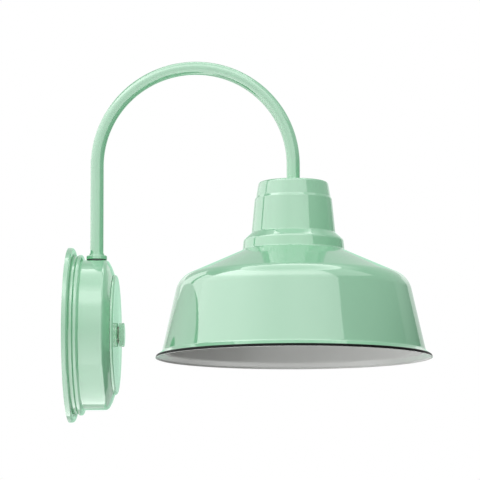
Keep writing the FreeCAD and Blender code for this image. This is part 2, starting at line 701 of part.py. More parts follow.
def canopy_body():
    """Spun drum: foot on the plate, ring and bead, drum, shoulder and front land."""
    bead_radius = RING_RADIUS + S.bead_height
    shoulder_middle = DRUM_FRONT + SHOULDER_DEPTH * S.shoulder_share
    line = [
        (S.plate_face, FOOT_BORE),
        (S.plate_face, RING_RADIUS, S.ring_round),
        (BEAD_START, RING_RADIUS, S.bead_round),
        (BEAD_START + S.bead_height, bead_radius, S.bead_round),
        (BEAD_END, bead_radius, S.bead_front_round),
        (DRUM_BACK, DRUM_RADIUS, S.bead_round),
        (DRUM_FRONT, DRUM_RADIUS, S.drum_round),
        (shoulder_middle, LAND_RADIUS + S.shoulder_inset / 2, S.shoulder_bulge),
        (S.canopy_depth, LAND_RADIUS, S.land_round),
        (S.canopy_depth, OPENING_RADIUS),
    ]
    drum = spun_sheet("canopy_body", line, -S.plate_wall, along="X")
    tools = [
        rod("arm_hole", PIPE_BORE + S.screw_play, S.plate_wall * 6, "Z", x=ARM_AXIS, z=SADDLE_FOOT)
    ]
    hole = S.small_screw_radius + S.screw_play
    for number, (across, up) in enumerate(canopy_screw_places()):
        tools.append(plate_hole(f"foot_hole_{number}", hole, across, up, S.plate_face * 2))
    keep(cut("canopy_body", drum, tools), "canopy_body")


def canopy_screws():
    screws = [
        pan_screw(
            f"canopy_screw_{number}",
            S.small_screw_radius,
            S.small_head_radius,
            S.small_head_height,
            FOOT_FACE - S.screw_end,
            FOOT_FACE,
            across,
            up,
        )
        for number, (across, up) in enumerate(canopy_screw_places())
    ]
    keep(group("canopy_screws", screws), "canopy_screws")


def stud_bridge():
    """Bent strap over the wire hole that carries the centre stud."""
    inner_leg = BRIDGE_LEG - S.bridge_wall
    foot = S.plate_face + S.bridge_wall
    back = S.bridge_height - S.bridge_wall
    half = [
        (foot, BRIDGE_END),
        (foot, BRIDGE_LEG, S.bridge_tight_round),
        (S.bridge_height, BRIDGE_LEG, S.bridge_round),
    ]
    inner = [
        (back, inner_leg, S.bridge_tight_round),
        (S.plate_face, inner_leg, S.bridge_round),
        (S.plate_face, BRIDGE_END),
    ]
    lower = [(corner[0], -corner[1], *corner[2:]) for corner in reversed(half)]
    lower_inner = [(corner[0], -corner[1], *corner[2:]) for corner in reversed(inner)]
    body = new_body("stud_bridge")
    sketch = body_sketch(body, "XZ_Plane", "stud_bridge_side")
    draw_outline(sketch, half + lower + lower_inner + inner)
    strap = body.newObject("PartDesign::Pad", "stud_bridge_strap")
    strap.Profile = sketch
    strap.Midplane = True
    bind(strap, "Length", S.bridge_width)
    hole = S.small_screw_radius + S.screw_play
    tools = [rod("stud_hole", S.stud_radius + S.thread_play, S.bridge_height, "X", x=foot)]
    for side in (-1, 1):
        up = BRIDGE_SCREW * side
        tools.append(plate_hole(f"strap_hole_{side + 1}", hole, 0, up, S.plate_face * 2))
    keep(cut("stud_bridge", body, tools), "stud_bridge")


def bridge_screws():
    seat = S.plate_face + S.bridge_wall
    screws = [
        pan_screw(
            f"bridge_screw_{side + 1}",
            S.small_screw_radius,
            S.small_head_radius,
            S.small_head_height,
            seat - S.screw_end,
            seat,
            0,
            BRIDGE_SCREW * side,
        )
        for side in (-1, 1)
    ]
    keep(group("bridge_screws", screws), "bridge_screws")


def centre_stud():
    """Headed stud through the bridge, with a chamfered point."""
    back = S.bridge_height - S.bridge_wall
    corners = [
        (back - S.stud_head_height, 0),
        (back - S.stud_head_height, S.stud_head_radius),
        (back, S.stud_head_radius),
        (back, S.stud_radius),
        (STUD_END - S.stud_point, S.stud_radius),
        (STUD_END, S.stud_radius - S.stud_chamfer),
        (STUD_END, 0),
    ]
    keep(turned("centre_stud", corners, along="X"), "centre_stud")


def stud_nut():
    """Hexagon nut that clamps the stud to the bridge."""
    nut = hex_nut("stud_nut", S.stud_nut_flats, STUD_BORE, S.stud_nut_height, 0)
    placed = group("stud_nut", [nut])
    placed.Placement = FreeCAD.Placement(FreeCAD.Vector(), ACROSS_X)
    place(placed, S.bridge_height)
    keep(placed, "stud_nut")


def ground_screw():
    """Earth screw in the plate, with a washer under its head."""
    head = S.ground_washer_height + S.ground_head_height
    corners = [
        (S.screw_end - S.plate_face, 0),
        (S.screw_end - S.plate_face, S.small_screw_radius),
        (0, S.small_screw_radius),
        (0, S.ground_washer_radius),
        (S.ground_washer_height, S.ground_washer_radius),
        (S.ground_washer_height, S.ground_head_radius),
        (head, S.ground_head_radius, S.ground_head_round),
        (head, 0),
    ]
    screw = turned(
        "ground_screw", corners, "X", S.plate_face, GROUND_ACROSS, GROUND_UP
    )
    keep(screw, "ground_screw")


# ---- front cover and its knob ------------------------------------------------


def front_cover():
    """Shallow crowned lid with a flat land and a rounded, turned-back edge."""
    land = COVER_RADIUS - S.cover_land
    line = [
        (COVER_TOP, SHANK_HOLE),
        (COVER_TOP, S.knob_washer_radius + 2, S.cover_middle),
        (COVER_FACE, land, S.cover_bend),
        (COVER_FACE, COVER_RADIUS, S.cover_round),
        (S.canopy_depth + S.slide_gap, COVER_RADIUS),
    ]
    keep(spun_sheet("front_cover", line, S.cover_wall, along="X"), "front_cover")


def cover_gasket():
    """Rubber ring under the land of the cover."""
    outer = COVER_RADIUS - S.cover_round - S.slide_gap
    inner = OPENING_RADIUS + S.cover_gasket_inset
    back = S.canopy_depth + S.slide_gap
    front = COVER_FACE - S.cover_wall
    corners = [(back, inner), (front, inner), (front, outer), (back, outer)]
    keep(turned("cover_gasket", corners, along="X"), "cover_gasket")


def cover_knob():
    """Round thumb knob with a crowned face and a hollow threaded shank."""
    front = KNOB_BACK + S.knob_height
    bore_end = STUD_END + S.knob_bore_room
    corners = [
        (SHANK_END, STUD_BORE),
        (SHANK_END, S.knob_shank_radius),
        (KNOB_BACK, S.knob_shank_radius),
        (KNOB_BACK, S.knob_radius, S.knob_back_round),
        (front - S.knob_crown, S.knob_radius, S.knob_edge_round),
        (front, S.knob_radius - S.knob_crown_width, S.knob_crown_round),
        (front, 0),
        (bore_end, 0),
        (bore_end, STUD_BORE),
    ]
    keep(turned("cover_knob", corners, along="X"), "cover_knob")


def knob_washer():
    front = WASHER_BACK + S.knob_washer_height
    corners = [
        (WASHER_BACK, SHANK_HOLE),
        (WASHER_BACK, S.knob_washer_radius),
        (front, S.knob_washer_radius),
        (front, SHANK_HOLE),
    ]
    keep(turned("knob_washer", corners, along="X"), "knob_washer")


def knob_retaining_ring():
    """Clip on the shank that keeps the knob on the cover."""
    inner = S.knob_shank_radius + S.thread_play
    outer = S.knob_shank_radius + S.clip_width
    back = CLIP_FRONT - S.clip_height
    corners = [(back, inner), (back, outer), (CLIP_FRONT, outer), (CLIP_FRONT, inner)]
    keep(turned("knob_retaining_ring", corners, along="X"), "knob_retaining_ring")


# ---- arm ---------------------------------------------------------------------


def gooseneck_tube():
    """Tube swept up the riser, over the half-circle and down into the neck."""
    body = new_body("gooseneck_tube")
    section = body_sketch(body, "XY_Plane", "tube_section")
    bind(section, "AttachmentOffset.Base.z", TUBE_FOOT)
    draw_circle(section, ARM_AXIS, 0, S.tube_radius)
    draw_circle(section, ARM_AXIS, 0, TUBE_BORE)
    spine = body_sketch(body, "XZ_Plane", "tube_spine")
    draw_spine(spine)
    sweep = body.newObject("PartDesign::AdditivePipe", "tube_sweep")
    sweep.Profile = section
    sweep.Spine = spine
    keep(body, "gooseneck_tube")


def draw_spine(sketch):
    """Riser, half-circle bend and drop, tangent to each other."""
    foot = FreeCAD.Vector(ARM_AXIS.value, TUBE_FOOT.value, 0)
    left = FreeCAD.Vector(ARM_AXIS.value, S.spring_line.value, 0)
    right = FreeCAD.Vector(SHADE_AXIS.value, S.spring_line.value, 0)
    head = FreeCAD.Vector(SHADE_AXIS.value, TUBE_HEAD.value, 0)
    riser = sketch.addGeometry(Part.LineSegment(foot, left))
    circle = Part.Circle((left + right) / 2, FreeCAD.Vector(0, 0, 1), S.bend_radius.value)
    bend = sketch.addGeometry(Part.ArcOfCircle(circle, 0, math.pi))
    drop = sketch.addGeometry(Part.LineSegment(right, head))
    sketch.addConstraint(
        [
            Sketcher.Constraint("Coincident", riser, 2, bend, 2),
            Sketcher.Constraint("Coincident", bend, 1, drop, 1),
        ]
    )
    fix_point(sketch, riser, 1, ARM_AXIS, TUBE_FOOT)
    fix_point(sketch, riser, 2, ARM_AXIS, S.spring_line)
    fix_distance(sketch, "DistanceY", bend, 3, S.spring_line)
    fix_point(sketch, drop, 1, SHADE_AXIS, S.spring_line)
    fix_point(sketch, drop, 2, SHADE_AXIS, TUBE_HEAD)


def arm_collar():
    """Threaded collar that draws the arm down on the drum, with a short sleeve."""
    top = COLLAR_BACK + S.collar_height
    sleeve = PIPE_BORE + S.sleeve_wall
    corners = [
        (PIPE_BORE, COLLAR_BACK),
        (COLLAR_RADIUS, COLLAR_BACK, S.collar_foot_round),
        (COLLAR_RADIUS, top, S.collar_round),
        (sleeve, top, S.sleeve_foot_round),
        (sleeve, top + S.sleeve_height, S.sleeve_round),
        (PIPE_BORE, top + S.sleeve_height),
    ]
    keep(turned("arm_collar", corners, x=ARM_AXIS), "arm_collar")


def collar_gasket():
    """Rubber disc whose underside follows the drum."""
    radius = COLLAR_RADIUS - S.collar_foot_round
    height = S.collar_seat + S.collar_seat_dip
    disc = rod("collar_gasket_disc", radius, height, "Z", x=ARM_AXIS, z=COLLAR_BACK - height)
    tools = [
        rod("collar_gasket_drum", DRUM_RADIUS + S.thread_play, S.canopy_depth, "X"),
        rod("collar_gasket_bore", PIPE_BORE, height + 2, "Z", x=ARM_AXIS, z=COLLAR_BACK - height - 1),
    ]
    keep(cut("collar_gasket", disc, tools), "collar_gasket")


def arm_saddle_washer():
    """Washer whose top follows the inside of the drum."""
    radius = DRUM_LENGTH * S.saddle_radius
    disc = rod("saddle_disc", radius, S.saddle_height + 1, "Z", x=ARM_AXIS, z=SADDLE_FOOT)
    inside = rod("saddle_drum", DRUM_INSIDE - S.thread_play, S.canopy_depth, "X")
    blank = common("arm_saddle_washer", disc, inside)
    bore = rod("saddle_bore", PIPE_BORE, S.saddle_height + 4, "Z", x=ARM_AXIS, z=SADDLE_FOOT - 1)
    keep(cut("arm_saddle_washer", blank, [bore]), "arm_saddle_washer")


def arm_lock_nut():
    low = SADDLE_FOOT - S.pipe_nut_height
    nut = hex_nut("arm_lock_nut", S.pipe_nut_flats, PIPE_BORE, S.pipe_nut_height, low, ARM_AXIS)
    keep(nut, "arm_lock_nut")


def tube_bushings():
    """Plastic bushings that keep the wires off the cut ends of the tube."""
    outer = TUBE_BORE - S.thread_play
    lip = S.tube_radius - S.bushing_inset
    rings = []
    for number, (axis, end) in enumerate(((ARM_AXIS, TUBE_FOOT), (SHADE_AXIS, TUBE_HEAD))):
        corners = [
            (S.bushing_radius, end - S.bushing_lip),
            (lip, end - S.bushing_lip),
            (lip, end),
            (outer, end),
            (outer, end + S.bushing_height),
            (S.bushing_radius, end + S.bushing_height),
        ]
        rings.append(turned(f"tube_bushing_{number}", corners, x=axis))
    keep(group("tube_bushings", rings), "tube_bushings")


# ---- shade --------------------------------------------------------------------


def shade():
    """Spun shade: capped neck with a step, bell, shoulder, skirt and flared lip."""
    cap_end = S.neck_radius + S.cap_taper
    step_end = cap_end + S.step_width
    neck_end = step_end + S.neck_taper
    bell_top = neck_end + S.bell_width
    line = [
        (PIPE_BORE + S.screw_play, 0),
        (S.neck_radius, 0, S.neck_round),
        (cap_end, -S.cap_height, S.step_round),
        (step_end, -(S.cap_height + S.step_height), S.step_round),
        (neck_end, -S.neck_height, S.step_round),
        (bell_top, -(S.neck_height + S.bell_rise), S.bell_round),
        (bell_top + S.bell_taper, -(S.neck_height + S.bell_height), S.bell_foot_round),
        (SHOULDER_RADIUS, -S.shoulder_drop, S.shoulder_round),
        (SKIRT_RADIUS, S.lip_height - S.shade_height, S.lip_round),
        (SHADE_RADIUS - S.lip_turn, S.lip_edge - S.shade_height, S.lip_turn_round),
        (SHADE_RADIUS, -S.shade_height),
    ]
    keep(spun_sheet("shade", line, -S.shade_wall, x=SHADE_AXIS, z=NECK_TOP), "shade")


def shade_hub():
    """Flanged, threaded hub welded under the top of the neck."""
    corners = [
        (PIPE_BORE, HOLDER_TOP),
        (S.hub_boss_radius, HOLDER_TOP, S.hub_boss_round),
        (S.hub_boss_radius, UNDER_TOP - S.hub_flange, S.hub_fillet),
        (S.hub_radius, UNDER_TOP - S.hub_flange, S.hub_flange_round),
        (S.hub_radius, UNDER_TOP),
        (PIPE_BORE, UNDER_TOP),
    ]
    keep(turned("shade_hub", corners, x=SHADE_AXIS), "shade_hub")


def shade_lock_nut():
    low = HOLDER_NUT_TOP - S.pipe_nut_height
    nut = hex_nut("shade_lock_nut", S.pipe_nut_flats, PIPE_BORE, S.pipe_nut_height, low, SHADE_AXIS)
    keep(nut, "shade_lock_nut")


# ---- lamp holder ----------------------------------------------------------------


def socket_cap():
    """Drawn steel cap clamped between the hub and its lock nut."""
    line = [
        (PIPE_BORE, HOLDER_TOP),
        (S.holder_radius, HOLDER_TOP, S.holder_round),
        (S.holder_radius, HOLDER_FOOT),
    ]
    cap = spun_sheet("socket_cap", line, -S.holder_wall, x=SHADE_AXIS)
    radius = S.cap_screw_radius + S.screw_play
    reach = S.holder_radius * 2 + 4
    hole = rod("cap_screw_holes", radius, reach, "X", x=SHADE_AXIS - reach / 2, z=CAP_SCREW_UP)
    keep(cut("socket_cap", cap, [hole]), "socket_cap")


def cap_screws():
    """Two screws through the side of the cap into the porcelain."""
    screws = []
    point = S.holder_radius - S.cap_screw_depth
    head = S.holder_radius + S.cap_screw_head_height
    for side in (-1, 1):
        corners = [
            (point * side, 0),
            (point * side, S.cap_screw_radius),
            (S.holder_radius * side, S.cap_screw_radius),
            (S.holder_radius * side, S.cap_screw_head_radius),
            (head * side, S.cap_screw_head_radius, S.cap_screw_head_round),
            (head * side, 0),
        ]
        screw = turned(f"cap_screw_{side + 1}", corners, along="X", x=SHADE_AXIS, z=CAP_SCREW_UP)
        screws.append(screw)
    keep(group("cap_screws", screws), "cap_screws")


def socket_body():
    """Porcelain body: spigot in the cap, rounded mouth, bore for the screw shell."""
    spigot = S.holder_radius - S.holder_wall - S.screw_play
    outside = S.holder_radius + S.porcelain_lip
    ledge = HOLDER_FOOT - S.porcelain_gap
    corners = [
        (0, CAVITY_TOP),
        (S.cavity_radius, CAVITY_TOP),
        (S.cavity_radius, PORCELAIN_FOOT, S.porcelain_mouth_round),
        (outside, PORCELAIN_FOOT, S.porcelain_foot_round),
        (outside, ledge, S.porcelain_ledge_round),
        (spigot, ledge),
        (spigot, PORCELAIN_TOP, S.porcelain_top_round),
        (0, PORCELAIN_TOP),
    ]
    blank = turned("socket_body", corners, x=SHADE_AXIS)
    depth = S.cap_screw_depth + S.slide_gap
    sides = [
        rod(
            f"porcelain_screw_hole_{side + 1}",
            S.cap_screw_radius + S.thread_play,
            depth,
            "X",
            x=SHADE_AXIS + (S.holder_radius - depth / 2) * side - depth / 2,
            z=CAP_SCREW_UP,
        )
        for side in (-1, 1)
    ]
    stem = rod(
        "contact_hole",
        S.contact_stem + S.thread_play,
        S.web_height + 2,
        "Z",
        x=SHADE_AXIS,
        z=CAVITY_TOP - 1,
    )
    rivet = rod(
        "neutral_hole",
        S.rivet_radius + S.thread_play,
        S.web_height + 2,
        "Z",
        x=SHADE_AXIS,
        y=S.neutral_stem_reach,
        z=CAVITY_TOP - 1,
    )
    keep(cut("socket_body", blank, sides + [stem, rivet]), "socket_body")


def screw_shell():
    """Brass shell that the bulb screws into, with an inward flange at its top."""
    outer = S.shell_radius + S.shell_wall
    line = [
        (S.contact_radius + S.shell_flange_gap, CAVITY_TOP),
        (outer, CAVITY_TOP, S.shell_round),
        (outer, PORCELAIN_FOOT + S.shell_rise),
    ]
    keep(spun_sheet("screw_shell", line, -S.shell_wall, x=SHADE_AXIS), "screw_shell")


def centre_contact():
    """Riveted contact at the top of the shell."""
    corners = [
        (0, CONTACT_FOOT),
        (S.contact_radius, CONTACT_FOOT, S.contact_round),
        (S.contact_radius, CAVITY_TOP),
        (S.contact_stem, CAVITY_TOP),
        (S.contact_stem, PORCELAIN_TOP),
        (0, PORCELAIN_TOP),
    ]
    keep(turned("centre_contact", corners, x=SHADE_AXIS), "centre_contact")


def terminal_plate(name, inner, outer):
    """Flat plate on the porcelain between two distances from the axis along Y."""
    body = new_body(name)
    sketch = body_sketch(body, "XY_Plane", f"{name}_outline")
    bind(sketch, "AttachmentOffset.Base.z", PORCELAIN_TOP)
    half = S.terminal_width / 2
    small, large = S.terminal_corner, S.terminal_end_corner
    draw_outline(
        sketch,
        [(-half, inner, small), (half, inner, small), (half, outer, large), (-half, outer, large)],
    )
    plate = body.newObject("PartDesign::Pad", f"{name}_plate")
    plate.Profile = sketch
    bind(plate, "Length", S.terminal_wall)
    place(body, SHADE_AXIS)
    return body


def live_terminal():
    """Brass plate from the centre contact to the live screw."""
    reach = S.terminal_reach + S.terminal_edge
    keep(terminal_plate("live_terminal", -reach, S.live_plate_end), "live_terminal")


def neutral_terminal():
    """Plate at the neutral screw, with the rivet that reaches the shell."""
    near = S.neutral_stem_reach - S.neutral_plate_end
    plate = terminal_plate("neutral_plate", near, S.terminal_reach + S.terminal_edge)
    stem = rod(
        "neutral_stem",
        S.rivet_radius,
        S.web_height,
        "Z",
        x=SHADE_AXIS,
        y=S.neutral_stem_reach,
        z=CAVITY_TOP,
    )
    joined = DOC.addObject("Part::Fuse", "neutral_terminal_fuse")
    joined.Base = plate
    joined.Tool = stem
    keep(joined, "neutral_terminal")


def terminal_screws():
    """Round-headed screws on the two terminal plates."""
    top = PORCELAIN_TOP + S.terminal_wall
    corners = [
        (0, top),
        (S.terminal_head_radius, top),
        (S.terminal_head_radius, top + S.terminal_head_height, S.terminal_head_round),
        (0, top + S.terminal_head_height),
    ]
    screws = [
        turned(f"terminal_screw_{side + 1}", corners, x=SHADE_AXIS, y=S.terminal_reach * side)
        for side in (-1, 1)
    ]
    keep(group("terminal_screws", screws), "terminal_screws")


# ---- wires -----------------------------------------------------------------------


def wire_nut(name, y, mouth):
    """Closed cone with its mouth up; the lead ends on the floor of its bore."""
    corners = [
        (0, mouth - S.nut_length),
        (S.nut_tip_radius, mouth - S.nut_length, S.nut_tip_round),
        (S.nut_radius, mouth - S.nut_skirt, S.nut_skirt_round),
        (S.nut_radius, mouth, S.nut_mouth_round),
        (S.nut_bore, mouth),
        (S.nut_bore, mouth - S.nut_depth),
        (0, mouth - S.nut_depth),
    ]
    return turned(name, corners, x=ARM_AXIS, y=y)


def wire_nuts():
    nuts = [
        wire_nut("wire_nut_live", -NUT_REACH, NUT_MOUTH),
        wire_nut("wire_nut_neutral", NUT_REACH, NUT_MOUTH),
        wire_nut("wire_nut_earth", GROUND_ACROSS, EARTH_NUT_MOUTH),
    ]
    keep(group("wire_nuts", nuts), "wire_nuts")


def tube_lead(label, side):
    """From a wire nut, up through the tube and over its bend, to a terminal."""
    near = S.lead_spacing.value / 2 * side
    low_bend = S.lead_bend.value * (NUT_REACH.value - abs(near)) / 2
    floor = (NUT_MOUTH - S.nut_depth).value
    x = ARM_AXIS.value
    axis = SHADE_AXIS.value
    spring = S.spring_line.value
    crossing = LEAD_CROSSING.value
    top_bend = (S.terminal_reach.value - abs(near)) / 2
    end = (PORCELAIN_TOP + S.terminal_wall + S.terminal_head_height).value
    turn = end + top_bend + S.terminal_rise.value
    rise = [
        FreeCAD.Vector(x, NUT_REACH.value * side, floor),
        FreeCAD.Vector(x, NUT_REACH.value * side, crossing),
        FreeCAD.Vector(x, near, crossing),
        FreeCAD.Vector(x, near, spring),
    ]
    over = Part.Arc(
        FreeCAD.Vector(x, near, spring),
        FreeCAD.Vector((x + axis) / 2, near, spring + (axis - x) / 2),
        FreeCAD.Vector(axis, near, spring),
    )
    drop = [
        FreeCAD.Vector(axis, near, spring),
        FreeCAD.Vector(axis, near, turn),
        FreeCAD.Vector(axis, S.terminal_reach.value * side, turn),
        FreeCAD.Vector(axis, S.terminal_reach.value * side, end),
    ]
    close = top_bend - S.bend_slack.value
    edges = routed_wire(rise, [low_bend, low_bend])
    edges.append(over.toShape())
    edges += routed_wire(drop, [close, close])
    lead(label, edges, S.lead_radius.value)


def earth_lead():
    """From the earth screw, up the plate and over into its wire nut."""
    y = GROUND_ACROSS.value
    low = (S.plate_face + S.earth_lead_off).value
    foot = (GROUND_UP + S.ground_head_radius + S.thread_play).value
    bend = S.lead_bend.value * (ARM_AXIS.value - low) / 2
    points = [
        FreeCAD.Vector(low, y, foot),
        FreeCAD.Vector(low, y, EARTH_TURN.value),
        FreeCAD.Vector(ARM_AXIS.value, y, EARTH_TURN.value),
        FreeCAD.Vector(ARM_AXIS.value, y, (EARTH_NUT_MOUTH - S.nut_depth).value),
    ]
    lead("earth_lead", routed_wire(points, [bend, bend]), S.lead_radius.value)


# ---- bulb ------------------------------------------------------------------------


def bulb_glass():
    """Hollow pear-shaped glass, its neck held in the screw cap."""
    neck_top = S.bulb_length - S.bulb_cap_length + S.bulb_glass_depth
    stem = S.bulb_neck_radius - S.bulb_cap_wall - S.bulb_cement
    line = [
        (0, 0),
        (S.bulb_radius, 0, S.bulb_tip_round),
        (S.bulb_radius, S.bulb_waist, S.bulb_waist_round),
        (S.bulb_neck_radius, S.bulb_neck, S.bulb_neck_round),
        (stem, neck_top - S.bulb_stem_length, S.bulb_stem_round),
        (stem, neck_top),
    ]
    glass = spun_sheet("bulb_glass", line, S.bulb_glass_wall, x=SHADE_AXIS, z=BULB_TIP)
    keep(glass, "bulb_glass")


def bulb_screw_cap():
    """Thin metal screw cap."""
    foot = BULB_TOP - S.bulb_cap_length
    head = BULB_TOP - S.bulb_button_height - S.bulb_insulator_height
    line = [
        (S.bulb_cap_radius, foot),
        (S.bulb_cap_radius, head, S.bulb_cap_round),
        (S.bulb_cap_mouth, head + S.bulb_cap_slope),
    ]
    cap = spun_sheet("bulb_screw_cap", line, S.bulb_cap_wall, x=SHADE_AXIS)
    keep(cap, "bulb_screw_cap")


def bulb_insulator():
    """Dark glass cone between the screw cap and the contact."""
    head = BULB_TOP - S.bulb_button_height
    foot = head - S.bulb_insulator_height
    low = foot + S.insulator_foot
    corners = [
        (0, low),
        (S.bulb_cap_mouth - S.insulator_inset, low, S.insulator_foot_round),
        (S.bulb_button_radius + S.insulator_margin, head, S.insulator_round),
        (0, head),
    ]
    keep(turned("bulb_insulator", corners, x=SHADE_AXIS), "bulb_insulator")


def bulb_contact():
    """Solder button at the top of the bulb."""
    foot = BULB_TOP - S.bulb_button_height
    corners = [
        (0, foot),
        (S.bulb_button_radius, foot),
        (S.bulb_button_radius, BULB_TOP, S.bulb_button_round),
        (0, BULB_TOP),
    ]
    keep(turned("bulb_contact", corners, x=SHADE_AXIS), "bulb_contact")


# ---- the whole sconce --------------------------------------------------------------


def build():
    wall_plate()
    wall_gasket()
    canopy_body()
    canopy_screws()
    stud_bridge()
    bridge_screws()
    centre_stud()
    stud_nut()
    ground_screw()
    front_cover()
    cover_gasket()
    cover_knob()
    knob_washer()
    knob_retaining_ring()
    gooseneck_tube()
    arm_collar()
    collar_gasket()
    arm_saddle_washer()
    arm_lock_nut()
    tube_bushings()
    shade()
    shade_hub()
    shade_lock_nut()
    socket_cap()
    cap_screws()
    socket_body()
    screw_shell()
    centre_contact()
    live_terminal()
    neutral_terminal()
    terminal_screws()
    wire_nuts()
    tube_lead("lead_live", -1)
    tube_lead("lead_neutral", 1)
    earth_lead()
    bulb_glass()
    bulb_screw_cap()
    bulb_insulator()
    bulb_contact()


def check():
    """Stop when any object failed or any sub-part is empty or not valid."""
    for thing in DOC.Objects:
        if {"Invalid", "Error"} & set(thing.State):
            raise ValueError(f"{thing.Label}: {thing.State}")
    for piece in SUBPARTS:
        shape = piece.Shape
        if shape.isNull() or not shape.isValid() or not shape.Solids:
            raise ValueError(f"{piece.Label}: no valid solid")


def export():
    os.makedirs(PARTS_FOLDER, exist_ok=True)
    for piece in SUBPARTS:
        piece.Shape.exportStep(f"{PARTS_FOLDER}/{piece.Label}.step")


build()
DOC.recompute()
check()
export()
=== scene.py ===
import json
import math

import bmesh
import bpy
from mathutils import Matrix, Quaternion, Vector


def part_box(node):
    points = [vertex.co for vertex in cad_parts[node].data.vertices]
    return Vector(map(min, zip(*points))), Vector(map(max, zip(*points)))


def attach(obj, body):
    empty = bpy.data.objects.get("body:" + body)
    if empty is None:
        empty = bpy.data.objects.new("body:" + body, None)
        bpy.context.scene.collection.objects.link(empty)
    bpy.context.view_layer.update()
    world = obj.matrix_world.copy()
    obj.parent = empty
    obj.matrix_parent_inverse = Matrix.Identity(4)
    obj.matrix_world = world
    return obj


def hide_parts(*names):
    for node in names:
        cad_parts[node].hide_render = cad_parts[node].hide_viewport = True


# Looks of a gooseneck wall sconce in mint-green porcelain enamel. Lengths are in
# metres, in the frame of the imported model; sections are written in millimetres.

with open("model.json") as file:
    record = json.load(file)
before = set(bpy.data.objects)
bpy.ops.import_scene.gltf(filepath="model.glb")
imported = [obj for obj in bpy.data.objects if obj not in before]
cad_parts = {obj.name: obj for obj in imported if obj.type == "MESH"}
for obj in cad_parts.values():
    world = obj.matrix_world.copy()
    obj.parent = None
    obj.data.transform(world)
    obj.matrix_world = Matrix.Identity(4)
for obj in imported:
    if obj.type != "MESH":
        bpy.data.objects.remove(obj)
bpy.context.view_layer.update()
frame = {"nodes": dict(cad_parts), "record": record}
NODES = frame["nodes"]
BODY_OF = {
    node: body
    for body, members in frame["record"]["behaviour"]["bodies"].items()
    for node in members
}
SLOT_OF = {row["node"]: row["material_slot"] for row in frame["record"]["subparts"]}

MM = 0.001
SHADE_AXIS = 288.9955
NECK_TOP = 196.6
ARM_AXIS = 34.9955
BEND = 127.0
SPRING_LINE = 220.2
TUBE_FOOT = 80.0
TUBE_HEAD = 171.2
TUBE_RADIUS = 8.575
TUBE_WALL = 2.1

MINT_COLOR = (139, 199, 161)
# The lining is white enamel painted greyer than white: part its own colour, part painted shade.
LINING_WHITE_AND_SHADE_COLOR = (170, 171, 169)
PLAIN_LIGHT = 0.79
FLOOR = -0.6
FLOOR_REACH = 9

# Points closer than these are one, in metres; edges under these angles are smooth.
WELD = 2e-6
HAIR = 1e-7
TURNED_EDGE = 40.0
PRESSED_EDGE = 32.0


# ---- sections -----------------------------------------------------------------


def rounded_line(corners, step, longest):
    """Points of a line through the corners (across, up, rounding), in millimetres."""
    points = [Vector((c[0], c[1])) for c in corners]
    spans = []
    for i, corner in enumerate(corners):
        radius = corner[2] if len(corner) > 2 else 0
        if not radius:
            spans.append([points[i]])
            continue
        back = (points[i - 1] - points[i]).normalized()
        ahead = (points[(i + 1) % len(points)] - points[i]).normalized()
        half = back.angle(ahead) / 2
        start = points[i] + back * (radius / math.tan(half))
        middle = points[i] + (back + ahead).normalized() * (radius / math.sin(half))
        sweep = math.pi - 2 * half
        count = max(2, round(math.degrees(sweep) / step))
        turn = sweep if back.cross(ahead) < 0 else -sweep
        arm = start - middle
        spans.append(
            [middle + Matrix.Rotation(turn * k / count, 2) @ arm for k in range(count + 1)]
        )
    line = list(spans[0])
    for span in spans[1:]:
        line += straight(line[-1], span[0], longest)
        line += span
    return line


def straight(start, end, longest):
    """Points between two ends: close to each end, and spaced out between them."""
    length = (end - start).length
    if length < 1.5:
        return []
    near = min(0.5, length / 4) / length
    count = max(1, round(length / longest))
    places = [near] + [k / count for k in range(1, count)] + [1 - near]
    return [start.lerp(end, place) for place in places]


def offset_corners(corners, wall):
    """The corners of a line moved sideways by the wall; roundings stay concentric."""
    points = [Vector((c[0], c[1])) for c in corners]
    moved = []
    for i, corner in enumerate(corners):
        ways = []
        if i > 0:
            ways.append((points[i] - points[i - 1]).normalized())
        if i < len(points) - 1:
            ways.append((points[i + 1] - points[i]).normalized())
        sides = [Vector((way.y, -way.x)) for way in ways]
        if len(sides) == 1:
            place = points[i] + sides[0] * wall
            moved.append((place.x, place.y))
            continue
        bisector = (sides[0] + sides[1]).normalized()
        place = points[i] + bisector * (wall / bisector.dot(sides[0]))
        radius = corner[2] if len(corner) > 2 else 0
        if radius:
            turn = ways[0].cross(ways[1])
            radius = max(radius + (wall if turn > 0 else -wall), 0.15)
        moved.append((place.x, place.y, radius))
    return moved


def sheet_section(corners, wall, step, longest):
    """The two faces of a sheet, from the same end."""
    face = rounded_line(corners, step, longest)
    back = rounded_line(offset_corners(corners, wall), step, longest)
    return face, back


# ---- geometry trees -------------------------------------------------------------


def new_tree(name, inputs):
    """An empty geometry tree with named inputs (name, socket type, value)."""
    tree = bpy.data.node_groups.new(name, "GeometryNodeTree")
    tree.interface.new_socket("Geometry", in_out="INPUT", socket_type="NodeSocketGeometry")
    for label, kind, value in inputs:
        socket = tree.interface.new_socket(label, in_out="INPUT", socket_type=kind)
        if value is not None:
            socket.default_value = value
    tree.interface.new_socket("Geometry", in_out="OUTPUT", socket_type="NodeSocketGeometry")
    return tree


def add(tree, kind, label="", **values):
    """A node with its properties and its inputs' values or links set."""
    node = tree.nodes.new(kind)
    node.label = label
    for key, value in values.items():
        if key.startswith("in_"):
            key = int(key[3:]) if key[3:].isdigit() else key[3:]
            if isinstance(value, bpy.types.NodeSocket):
                tree.links.new(value, node.inputs[key])
            else:
                node.inputs[key].default_value = value
        else:
            setattr(node, key, value)
    return node


def maths(tree, operation, first, second=0.0):
    return add(tree, "ShaderNodeMath", operation=operation, in_0=first, in_1=second).outputs[0]


